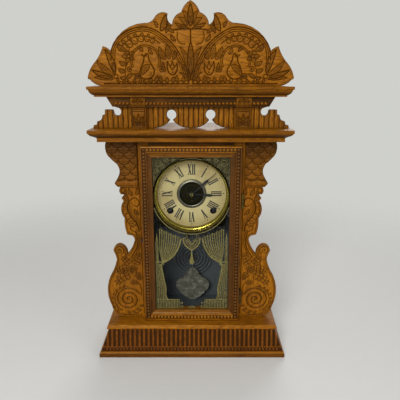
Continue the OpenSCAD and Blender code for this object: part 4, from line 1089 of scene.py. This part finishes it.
def bead_row(radii, start, step, count):
    """A row of turned beads: radii in mm, first centre and step in metres."""
    pick()
    bpy.ops.mesh.primitive_uv_sphere_add(segments=14, ring_count=8, radius=MM, location=start)
    beads = bpy.context.object
    beads.scale = radii
    bpy.ops.object.transform_apply(location=True, rotation=True, scale=True)
    bpy.ops.object.shade_smooth()
    repeated(beads, count, step)
    return beads


def joined(*pieces):
    """The pieces as one object, the first."""
    pick(*pieces)
    bpy.ops.object.join()
    return pieces[0]


def drawn_out(name, section, along):
    """A bar from a closed section of points, in metres, drawn out along a vector."""
    piece = new_piece(name, section, [list(range(len(section)))])
    edit((bpy.ops.mesh.extrude_region_move, {"TRANSFORM_OT_translate": {"value": along}}), OUTWARD)
    return piece


def trimmed(piece, *planes):
    """Cuts a piece off beyond each plane, a point and an outward normal, and closes the cut."""
    pick(piece)
    edit(*((bpy.ops.mesh.bisect,
            {"plane_co": point, "plane_no": normal, "use_fill": True, "clear_outer": True})
           for point, normal in planes), OUTWARD)


class CLOCK_OT_reed_apron(bpy.types.Operator):
    """Reed the sloping base apron over a row of small beads"""
    bl_idname = "clock.reed_apron"
    bl_label = "Reed apron"

    def execute(self, context):
        s = sizes()
        co = np.array([v.co for v in frame["nodes"]["base_apron"].data.vertices]) / MM
        foot, top = co[:, 2].min(), co[:, 2].max()
        at_top = co[co[:, 2] > top - 0.01]
        wide, narrow = co[:, 0].max(), at_top[:, 0].max()
        foot_d, top_d = BACK_Y / MM - co[:, 1].min(), BACK_Y / MM - at_top[:, 1].min()

        def front(z):
            return foot_d + (top_d - foot_d) * (z - foot) / (top - foot)

        field, relief = foot + 9.5, 1.25 * s.reed_relief / MM
        face, thick = front(field), 8.0
        count = round(2 * wide / (s.reed_pitch / MM))
        pitch = 2 * wide / count
        section = [(-wide + pitch * (0.5 - 0.33 * np.cos(a)), face - relief * (1 - np.sin(a)))
                   for a in np.linspace(0, np.pi, 9)]
        section = [(-wide, section[0][1]), *section, (-wide + pitch, section[-1][1]),
                   (-wide + pitch, face - thick), (-wide, face - thick)]
        rise = Vector((0, y_at(top_d) - y_at(face), (top - field) * MM))
        reeds = drawn_out("reeds", [(x * MM, y_at(d), field * MM) for x, d in section], rise)
        repeated(reeds, count, (pitch * MM, 0, 0))
        sunk = 1.6
        profile = [(0, 0), (0, 1.2), (sunk, 1.7), (sunk, 7.4), (0.2, 7.9), (0, 8.6), (0.3, 9.5)]
        band = [(front(foot + h) - r, foot + h) for r, h in profile]
        band += [(face - thick, field), (front(foot) - thick, foot)]
        band = drawn_out("band", [(-wide * MM, y_at(d), z * MM) for d, z in band],
                         Vector((2 * wide * MM, 0, 0)))
        lean = Vector((wide - narrow, 0, top - foot)).normalized()
        for piece in (reeds, band):
            trimmed(piece, *((Vector((side * wide, 0, foot)) * MM, Vector((side * lean.z, 0, lean.x)))
                             for side in (-1, 1)))
        z = foot + 4.5
        number = int((2 * wide - 12) / (s.bead_pitch / MM))
        beads = bead_row((2.2, 2.0, 2.2), (-(number - 1) / 2 * s.bead_pitch, y_at(front(z) - sunk), z * MM),
                         (s.bead_pitch, 0, 0), number)
        apron = joined(reeds, band, beads)
        bpy.ops.object.shade_smooth_by_angle(angle=SHARP)
        # Painted shade, with stain, in the grooves between the reeds and in the sunk band behind the beads.
        shade_by_recess(apron, lambda p: front(p[:, 2]) - (BACK_Y / MM - p[:, 1]))
        settle(apron, "apron_reeded", "case", "red_oak", "base oak reeded", "base_apron")
        return {"FINISHED"}


class CLOCK_OT_mould_door(bpy.types.Operator):
    """Mould the four mitred bars of the door frame and set beads in their channels"""
    bl_idname = "clock.mould_door"
    bl_label = "Mould door frame"

    def execute(self, context):
        low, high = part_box("door_left_stile")
        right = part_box("door_right_stile")[1].x
        wide, tall = (high.x - low.x) / MM, (high.y - low.y) / MM - 0.6
        lap = wide - (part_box("door_glass")[0].x - low.x) / MM + 0.3
        seat = (high.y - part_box("door_glass")[0].y) / MM
        channel, bead_pitch = 6, 6.0 * MM
        # across the bar from its outer edge, and down from its front
        front = [(0, 1), (0.3, 0.35), (1, 0), (2.4, 0), (2.9, 0.8), (3, 2), (9, 2), (9.1, 1), (9.4, 0.4),
                 (10.4, 0.4), (10.8, 1.4), (11.6, 2.4), (12.4, 3.1), (13.2, 3.6), (14.1, 4), (15, 4.2),
                 (15.6, 4.2), (16, 3.4), (wide - 0.6, 3.4), (wide, 4)]
        profile = [(0, 0), *((u, tall - drop) for u, drop in front), (wide, seat), (wide - lap, seat),
                   (wide - lap, 0)]
        x, z, out = Vector((1, 0, 0)), Vector((0, 0, 1)), Vector((0, -1, 0))
        bars = (("door_left_stile", Vector((low.x, high.y, low.z)), z, x, high.z - low.z),
                ("door_top_rail", Vector((low.x, high.y, high.z)), x, -z, right - low.x),
                ("door_right_stile", Vector((right, high.y, high.z)), -z, -x, high.z - low.z),
                ("door_bottom_rail", Vector((right, high.y, low.z)), -x, z, right - low.x))
        for node, corner, along, inward, size in bars:
            bar = drawn_out(node, [corner + (inward * u + out * t) * MM for u, t in profile], along * size)
            trimmed(bar, (corner, inward - along), (corner + along * size, inward + along))
            # Rails get the lighter finish: painted light on their upward faces.
            grain, inset, radii = (("z", 6 * MM, (3.0, 2.6, 2.7)) if abs(along.z) > 0.5
                                   else ("x", 12 * MM, (2.7, 2.6, 3.0)))
            count = round((size - 2 * inset) / bead_pitch) + 1
            start = corner + along * inset + (inward * channel + out * (tall - 2)) * MM
            bar = joined(bar, bead_row(radii, start, along * ((size - 2 * inset) / (count - 1)), count))
            bpy.ops.object.shade_smooth_by_angle(angle=math.radians(40))

            # Painted shade, with stain: the bead channel darkens with its depth, and the bar inward of it a
            # little.
            def recess(p, corner=corner, inward=inward):
                across = (p - np.array(corner) / MM) @ np.array(inward)
                depth = tall - (np.array(corner)[1] / MM - p[:, 1])
                return np.where((across > 2.6) & (across < 9.3), depth * 1.1,
                                np.where(across > 11, 0.75, 0.0))

            shade_by_recess(bar, recess)
            settle(bar, node + "_moulded", "door", "red_oak", f"red oak beaded {grain}", node)
        return {"FINISHED"}


class CLOCK_OT_turn_beads(bpy.types.Operator):
    """Lay the row of turned beads under the top cornice"""
    bl_idname = "clock.turn_beads"
    bl_label = "Turn cornice beads"

    def execute(self, context):
        low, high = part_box("bead_strip")
        pitch = sizes().bead_pitch
        count = int((high.x - low.x - 22 * MM) / pitch)
        start = (-(count - 1) * pitch / 2, low.y + 2.4 * MM, low.z + 5 * MM)
        beads = bead_row((2.9, 2.9, 2.9), start, (pitch, 0, 0), count)
        settle(beads, "cornice_beads", "case", "oak", "cornice oak")
        return {"FINISHED"}


class CLOCK_OT_turn_bezel(bpy.types.Operator):
    """Turn the brass bezel, a collar with a roll inside its foot"""
    bl_idname = "clock.turn_bezel"
    bl_label = "Turn bezel"

    def execute(self, context):
        low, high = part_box("dial_bezel")
        rim, foot, tall = (high.x - low.x) / 2 / MM, (BACK_Y - high.y) / MM, (high.y - low.y) / MM
        # in from the rim, and up from the foot or down from the front
        roll = [(4.75, 0), (5.1, 2), (5.3, 4.5), (5.25, 6.6), (5, 8.2), (4.6, 9.3), (4, 10.1), (3.3, 10.55),
                (2.6, 10.75), (2.2, 10.8), (1.95, 11.2), (1.9, 12)]
        collar = [(1.85, 4), (1.75, 1.9), (1.5, 0.5), (1.1, 0), (0.5, 0.3), (0.1, 1.2), (0, 2.2), (0.4, 4.5)]
        profile = roll + [(r, tall - d) for r, d in collar] + [(1.2, 0.4 * tall), (1.6, 0)]
        ring = new_piece("bezel", [((rim - r) * MM, y_at(foot + d), 0) for r, d in profile],
                         [list(range(len(profile)))])
        edit((bpy.ops.mesh.delete, {"type": "ONLY_FACE"}))
        applied(ring, "SCREW", axis="Y", angle=math.tau, steps=96, render_steps=96, use_merge_vertices=True,
                merge_threshold=1e-6)
        edit(OUTWARD)
        ring.location.z = (low.z + high.z) / 2
        bpy.ops.object.shade_smooth_by_angle(angle=SHARP)
        settle(ring, "bezel_turned", "case", "brass", "bezel brass", "dial_bezel")
        return {"FINISHED"}


NUMERALS = ("XII", "I", "II", "III", "IIII", "V", "VI", "VII", "VIII", "IX", "X", "XI")


def stroke(a, b, width):
    """The one quad of a straight bar between two points."""
    return ribbon(np.array([a, b], float), width)


def numeral(text, foot, head):
    """Outlines of a Roman numeral about its own middle line: x across, z from foot to head."""
    wide = {"I": 3.3, "V": 7.0, "X": 7.2}
    at = -sum(wide[c] for c in text) / 2
    shapes = []
    for c in text:
        m = at + wide[c] / 2
        at += wide[c]
        if c == "I":
            shapes += stroke((m, foot), (m, head), 2.15)
            feet = [(m, foot + 0.3, 3.1), (m, head - 0.3, 3.1)]
        elif c == "V":
            shapes += stroke((m - 2.2, head), (m + 0.3, foot), 2.5)
            shapes += stroke((m + 2.4, head), (m + 0.2, foot), 1.0)
            feet = [(m - 2.2, head - 0.3, 3.2), (m + 2.4, head - 0.3, 2.2)]
        else:
            shapes += stroke((m - 2.2, head), (m + 2.2, foot), 2.5)
            shapes += stroke((m + 2.3, head), (m - 2.3, foot), 1.0)
            feet = [(m + s * 2.25, z, 2.9) for s in (-1, 1) for z in (head - 0.3, foot + 0.3)]
        for x, z, w in feet:
            shapes += stroke((x - w / 2, z), (x + w / 2, z), 0.8)
    return shapes


class CLOCK_OT_print_dial(bpy.types.Operator):
    """Print the hour numerals and minute marks on the dial and ring its winding holes"""
    bl_idname = "clock.print_dial"
    bl_label = "Print dial"

    def execute(self, context):
        s = sizes()
        low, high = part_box("dial_paper")
        centre = np.array([0.0, (low.z + high.z) / 2 / MM])
        front = (BACK_Y - low.y) / MM
        shapes = []
        for hour, text in enumerate(NUMERALS):
            out, across = way(90 - 30 * hour), way(-30 * hour)
            for shape in numeral(text, s.numeral_foot / MM, s.numeral_head / MM):
                shapes.append(centre + shape[:, :1] * across + shape[:, 1:] * out)
        for minute in range(60):
            size, sides = (1.15, 12) if minute % 5 == 0 else (0.42, 8)
            dot = size * way(np.linspace(0, 360, sides, endpoint=False))
            shapes.append(centre + way(90 - 6 * minute) * s.minute_ring / MM + dot)
        printed("dial_print", shapes, front - 0.02, s.ink, "case", "black_steel", "dial print")
        for node, name in (("time_winding_arbor", "right"), ("strike_winding_arbor", "left")):
            low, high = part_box(node)
            place = ((low.x + high.x) / 2, y_at(front + 0.1), (low.z + high.z) / 2)
            pick()
            bpy.ops.mesh.primitive_torus_add(major_radius=5.2 * MM, minor_radius=0.75 * MM, major_segments=40,
                                             minor_segments=10, rotation=(math.pi / 2, 0, 0), location=place)
            bpy.ops.object.shade_smooth()
            settle(context.object, f"winding_ring_{name}", "case", "black_steel", "black steel")
        return {"FINISHED"}


def blend(a, b, share, count):
    """A line part of the way from one line to another."""
    pick = [line_[np.linspace(0, len(line_) - 1, count).astype(int)] for line_ in (a, b)]
    return pick[0] * (1 - share) + pick[1] * share


CURTAIN_TOP = curve((-57, 236), (-49, 232), (-40, 227.5), (-30, 223.5), (-19, 220.5))
CURTAIN_INNER = curve((-19, 220.5), (-21.5, 209), (-27, 196), (-36, 184), (-51, 174))
CURTAIN_OUTER = curve((-57, 236), (-57.5, 215), (-57, 195), (-53, 175))
DRAPE_INNER = curve((-54, 172), (-52, 155), (-49, 138), (-46.5, 122), (-47.2, 111), (-44, 102))
GLASS_EDGE = -65.2
SPIRE = ((-63.8, 172), (-59.2, 172), (-59.6, 198), (-58.2, 200), (-59.6, 202.5), (-59.8, 210), (-58.6, 212),
         (-60, 215), (-61.5, 230), (-63, 215), (-64.4, 212), (-63.2, 210), (-63.4, 202.5), (-64.8, 200),
         (-63.4, 198))


def curtain_wash():
    """The ground of the left half of the curtain, its drape and its base."""
    top, inner, outer = (thin(edge, 2.0) for edge in (CURTAIN_TOP, CURTAIN_INNER, CURTAIN_OUTER))
    upper = np.vstack([top, inner[1:], outer[-2:0:-1]])
    drape = np.vstack([thin(DRAPE_INNER, 2.0), [(GLASS_EDGE, 102), (GLASS_EDGE, 172)]])
    return [upper, drape, rectangle(GLASS_EDGE, 83.4, -23, 101), np.array(SPIRE)]


def curtain_lines():
    """The bright lines of the left half of the curtain."""
    shapes = []
    for k, share in enumerate(np.linspace(0.03, 0.88, 9)):
        path = blend(CURTAIN_OUTER, CURTAIN_INNER, share, 40)
        path[0] = CURTAIN_TOP[int(share * (len(CURTAIN_TOP) - 1))]
        path = curve(*path[[0, 8, 16, 26, 39]])
        shapes += ribbon(thin(path, 2.0), 1.5, 0.6)
        tip = path[0] + np.array([0.2, 6.5 if k % 2 else 3.6])
        shapes.append(np.array([path[0] + (-1.1, -0.4), path[0] + (1.1, -0.4), tip]))
        shapes += ribbon(thin(arc(path[0] + (1.4, 0.8), 1.3, 200, -20), 0.7), 0.6)
    shapes += ribbon(thin(CURTAIN_INNER, 1.6), 3.0, 2.2)
    shapes += ribbon(thin(curve((GLASS_EDGE, 175), (-58, 176.5), (-52.5, 173.5), (-50.5, 170)), 1.5), 2.4)
    for share, width in ((0.16, 0.6), (0.34, 0.8), (0.52, 0.6), (0.7, 0.9), (0.86, 0.6), (0.97, 1.8)):
        edge = line((GLASS_EDGE, 172), (GLASS_EDGE, 102))
        shapes += ribbon(thin(curve(*blend(edge, DRAPE_INNER, share, 8)), 2.5), width)
    for z, width in ((101.4, 1.6), (96.6, 0.7), (84.2, 1.4)):
        shapes += stroke((GLASS_EDGE, z), (-23, z), width)
    for k in range(15):
        x = -64.2 + 2.9 * k
        shapes += stroke((x, 84), (x, 101), 1.2)
    shapes += ribbon(thin(spiral((-19.3, 87), 3.6, 0.8, 240, 1.4), 0.7), 1.1, 0.7)
    shapes += ribbon(thin(spiral((-19.6, 94.5), 2.6, 0.7, 60, -1.2), 0.7), 0.9, 0.6)
    outline = np.array(SPIRE + SPIRE[:1], float)
    for a, b in zip(outline, outline[1:]):
        shapes += stroke(a, b, 0.7)
    shapes += stroke((-61.5, 172), (-61.5, 224), 1.0)
    return shapes


def corner_shapes(centre, radius):
    """The wash and the lines of the lace in the left top corner, outside the dial's opening."""
    side, top = GLASS_EDGE + 0.4, 364.8
    rim = arc(centre, radius, 105, 172)
    rim = thin(rim[(rim[:, 0] > side) & (rim[:, 1] < top)], 2.0)
    wash = np.vstack([rim, [(side, rim[-1][1]), (side, top), (rim[0][0], top)]])
    lines = stroke((side, top), (side, rim[-1][1]), 1.0) + stroke((side, top), (rim[0][0], top), 1.0)
    for spot, r, start, turns in (((-56, 356), 6.2, 200, 1.6), ((-59.5, 341.5), 4.2, 90, -1.5),
                                  ((-42, 360.2), 3.6, 0, 1.4), ((-48.5, 349.5), 3.8, 150, -1.5),
                                  ((-62, 329), 2.4, 100, 1.4), ((-30, 362), 2.2, 20, -1.4)):
        spot = np.array(spot)
        lines += ribbon(thin(spiral(spot, r, r * 0.2, start, turns), 0.8), 1.4, 0.7)
        for a in range(0, 360, 45):
            root, tip, half = spot + way(a) * r, spot + way(a) * (r + 2.4), 0.9 * way(a + 90)
            if math.dist(tip, centre) > radius + 1 and tip[0] > side and tip[1] < top:
                lines.append(np.array([root - half, tip, root + half]))
    return wash, lines


class CLOCK_OT_gild_glass(bpy.types.Operator):
    """Gild the back of the door glass with a draped curtain, tassel and lace corners"""
    bl_idname = "clock.gild_glass"
    bl_label = "Gild door glass"

    def execute(self, context):
        low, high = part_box("dial_bezel")
        centre = np.array([0.0, (low.z + high.z) / 2 / MM + 1.0])
        radius = (high.x - low.x) / 2 / MM + 1.4
        corner_wash, corner_lines = corner_shapes(centre, radius)
        wash = curtain_wash() + [corner_wash]
        lines = curtain_lines() + corner_lines
        wash += [mirrored(shape) for shape in wash]
        lines += [mirrored(shape) for shape in lines]
        for start, end in ((106, 74), (196, 344)):
            path = arc(centre, radius, start, end)
            lines += ribbon(thin(path[np.abs(path[:, 0]) < -GLASS_EDGE], 2.0), 1.3)
        swag = curve((-15, 222), (-13.5, 212), (-8, 204), (0, 199.5), (8, 204), (13.5, 212), (15, 222))
        wash.append(thin(swag, 1.4))
        lines += ribbon(thin(swag, 1.4), 2.2)
        for drop in (4.5, 9.0):
            lines += ribbon(thin(swag * np.array([1 - drop / 22, 1]) + np.array([0, drop]), 1.4)[2:-2], 0.8)
        for spot, start, turns in (((0, 211), 90, 1.5), ((-6.5, 216), 300, 1.3), ((6.5, 216), 240, -1.3)):
            lines += ribbon(thin(spiral(spot, 3.2, 0.7, start, turns), 0.7), 1.0, 0.6)
        lines += stroke((0, 200), (0, 190), 1.9)
        lines.append(np.array([(-1.3, 191), (-2.2, 184), (-4.2, 177), (-3.4, 173), (0, 171.6), (3.4, 173),
                               (4.2, 177), (2.2, 184), (1.3, 191)]))
        for r, width in ((6.2, 1.6), (3.0, 1.3)):
            lines += ribbon(thin(arc((0, 81.8), r, 165, 15), 0.8), width)
        back = (BACK_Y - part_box("door_glass")[1].y) / MM
        thick = sizes().gilding
        printed("glass_gilding", lines, back - thick / MM - 0.02, thick, "door", "brass", "dull gilding")
        printed("glass_wash", wash, back - 2 * thick / MM - 0.06, thick, "door", "brass", "gilt wash")
        return {"FINISHED"}


class CLOCK_OT_emboss_bob(bpy.types.Operator):
    """Emboss the pendulum bob with scrolls round a boss"""
    bl_idname = "clock.emboss_bob"
    bl_label = "Emboss bob"

    def execute(self, context):
        low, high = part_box("pendulum_bob")
        mid = np.array([0.0, (low.z + high.z) / 2 / MM])
        loop = front_loops("pendulum_bob", 28.6)[0]
        half = Drawing()
        half.volute(mid + (-20, 0), 6.2, 20, 1.7)
        half.volute(mid + (-10, 18), 3.8, 200, -1.5)
        half.volute(mid + (-13, -16), 4.4, 160, 1.5)
        half.leaves((mid + (-9, 8), mid + (-20, 9), 4, 0.1, 2), (mid + (-9, -8), mid + (-22, -9), 4, -0.1, 2),
                    (mid + (-4, -13), mid + (-8, -26), 4, -0.1, 3))
        whole = half.doubled()
        whole.leaves((mid + (0, 12), mid + (0, 31), 6, 0, 4), (mid + (0, -12), mid + (0, -31), 6, 0, 4))
        whole.cut("mid", arc(mid, 11), arc(mid, 8.4))
        whole.petals(mid, 1.5, 8, 3.2, range(0, 360, 45))

        def dome(p):
            r = np.hypot(p[:, 0] - mid[0], p[:, 1] - mid[1])
            return 1.3 * np.exp(-(r / 11) ** 4) + 0.6 * np.exp(-((np.abs(p[:, 0]) - 20) / 7) ** 2)

        board = carved_board(loop, 28.6, 25.4, whole, 0.3, (2.4, everywhere), dome, 0.45)
        carve("bob_embossed", [board], "pendulum", "bob_metal", "bob metal", "pendulum_bob")
        return {"FINISHED"}


SLOT_LOOKS = {"oak": "oak x", "red_oak": "red oak", "back_wood": "back board wood", "brass": "movement brass",
              "steel": "bright steel", "black_steel": "black steel", "iron": "cast iron",
              "glass": "clear glass", "dial_paper": "dial paper", "bob_metal": "bob metal"}
# The nodes that have a finish of their own
NODE_LOOKS = {
    "polished brass": ("dial_bezel", "hand_nut"),
    "hinge brass": ("hinge_case_leaves", "hinge_door_leaves", "hinge_pins"),
    "dull gong": ("gong_coil", "pendulum_rod"),
    "centre ring": ("dial_centre_ring",),
    # The winding arbors are black: painted shade in the winding holes.
    "black steel": ("time_winding_arbor", "strike_winding_arbor"),
    "base oak x": ("base_apron",),
    "base oak y": ("base_ends",),
    "red oak": ("base_plinth",),
    # The bead strip and the cross rails under the shelf are dark: painted shade.
    "strip oak": ("bead_strip", "front_cross_rails"),
    "cornice oak": ("shelf_cornice", "top_cornice"),
    "oak lined sides": ("case_sides",),
    "oak lined floor": ("base_ledge",),
    "oak z": ("left_fret", "right_fret", "scale_brackets", "frieze_blocks", "frieze_board"),
}


class CLOCK_OT_finish_frame(bpy.types.Operator):
    """Give every part of the frame that shows its own finish"""
    bl_idname = "clock.finish_frame"
    bl_label = "Finish frame parts"

    def execute(self, context):
        own = {node: look for look, nodes in NODE_LOOKS.items() for node in nodes}
        for part in frame["record"]["subparts"]:
            obj = frame["nodes"][part["node"]]
            material = finish(own.get(part["node"]) or SLOT_LOOKS[part["material_slot"]])
            if not obj.material_slots:
                obj.data.materials.append(material)
            for holder in obj.material_slots:
                holder.material = material
        return {"FINISHED"}


# Place, size and power of each lamp, which all face one point
LAMPS = (((-0.45, -1.8, 1.3), 0.7, 29.0), ((-0.3, -2.0, 0.75), 0.9, 9.0), ((1.5, -1.3, 0.8), 1.0, 6.0),
         ((0.4, 1.7, 1.4), 1.2, 12.0))
LIT_POINT = Vector((0, 0, 0.3))
CAMERA_PLACE, CAMERA_TILT = (0.0148, -0.7797, 0.5007), math.radians(74.3)
SENSOR_WIDTH, LENS = 36.0, 40.5


class CLOCK_OT_set_stage(bpy.types.Operator):
    """Set the pale floor, the soft lights and the camera"""
    bl_idname = "clock.set_stage"
    bl_label = "Set stage"

    def execute(self, context):
        pick()
        bpy.ops.mesh.primitive_circle_add(vertices=96, radius=6.0, fill_type="NGON", location=(0, 0, 0))
        floor = context.object
        floor.name = "floor"
        p = Paint("pale floor")
        x, y, _ = p.axes(p.source("Object"))
        base = p.mix(tint("floor"), tint("backdrop"), p.noise(40.0, 2.0, 0.5) * 0.2)
        fade = ((x * x + y * y) ** 0.5).ease(0.5, 1.3)
        floor.data.materials.append(p.done(p.mix_shaders(fade, p.principled(base_color=base, roughness=0.6),
                                                         p.node("ShaderNodeBsdfTransparent"))))

        world = bpy.data.worlds.new("pale studio")
        context.scene.world = world
        world.use_nodes = True
        w = Paint(tree=world.node_tree)
        path = w.node("ShaderNodeLightPath").socket.node
        camera_ray, glossy_ray, clear_ray = (Sock(w, path.outputs[f"Is {kind} Ray"])
                                             for kind in ("Camera", "Glossy", "Transmission"))
        soft = w.node("ShaderNodeBackground", {"Color": (1, 1, 1, 1), "Strength": 0.25})
        pale = w.node("ShaderNodeBackground", {"Color": tint("backdrop"), "Strength": 1.0})
        w.node("ShaderNodeOutputWorld",
               {"Surface": w.mix_shaders(camera_ray.most(glossy_ray).most(clear_ray), soft, pale)})

        for place, size, power in LAMPS:
            bpy.ops.object.light_add(type="AREA", location=place)
            lamp = context.object
            lamp.data.size, lamp.data.energy = size, power
            lamp.rotation_euler = (LIT_POINT - Vector(place)).to_track_quat("-Z", "Y").to_euler()

        bpy.ops.object.camera_add(location=CAMERA_PLACE, rotation=(CAMERA_TILT, 0, 0))
        camera = context.object
        camera.data.sensor_width, camera.data.lens = SENSOR_WIDTH, LENS
        context.scene.camera = camera
        context.scene.view_settings.view_transform = "Standard"
        return {"FINISHED"}


class CLOCK_PT_build(bpy.types.Panel):
    """Lists the steps that dress the clock"""
    bl_idname = "CLOCK_PT_build"
    bl_label = "Gingerbread Clock"
    bl_space_type = "VIEW_3D"
    bl_region_type = "UI"
    bl_category = "Clock"

    def draw(self, context):
        for step in STEPS:
            self.layout.operator(step.bl_idname)
        for group in (context.scene.clock_sizes, context.scene.clock_colours):
            box = self.layout.box()
            for name in group.bl_rna.properties.keys():
                if name not in ("rna_type", "name"):
                    box.prop(group, name)


STEPS = (CLOCK_OT_finish_frame, CLOCK_OT_carve_crest, CLOCK_OT_carve_frets, CLOCK_OT_carve_brackets,
         CLOCK_OT_carve_blocks, CLOCK_OT_reed_frieze, CLOCK_OT_reed_apron, CLOCK_OT_mould_door,
         CLOCK_OT_turn_beads, CLOCK_OT_turn_bezel, CLOCK_OT_print_dial, CLOCK_OT_gild_glass,
         CLOCK_OT_emboss_bob, CLOCK_OT_set_stage)
CLASSES = (ClockSizes, ClockColours, *STEPS, CLOCK_PT_build)


def register():
    for cls in CLASSES:
        bpy.utils.register_class(cls)
    bpy.types.Scene.clock_sizes = bpy.props.PointerProperty(type=ClockSizes)
    bpy.types.Scene.clock_colours = bpy.props.PointerProperty(type=ClockColours)


def unregister():
    del bpy.types.Scene.clock_colours
    del bpy.types.Scene.clock_sizes
    for cls in reversed(CLASSES):
        bpy.utils.unregister_class(cls)


def main():
    register()
    for step in STEPS:
        group, name = step.bl_idname.split(".")
        getattr(getattr(bpy.ops, group), name)()


if __name__ == "__main__":
    main()
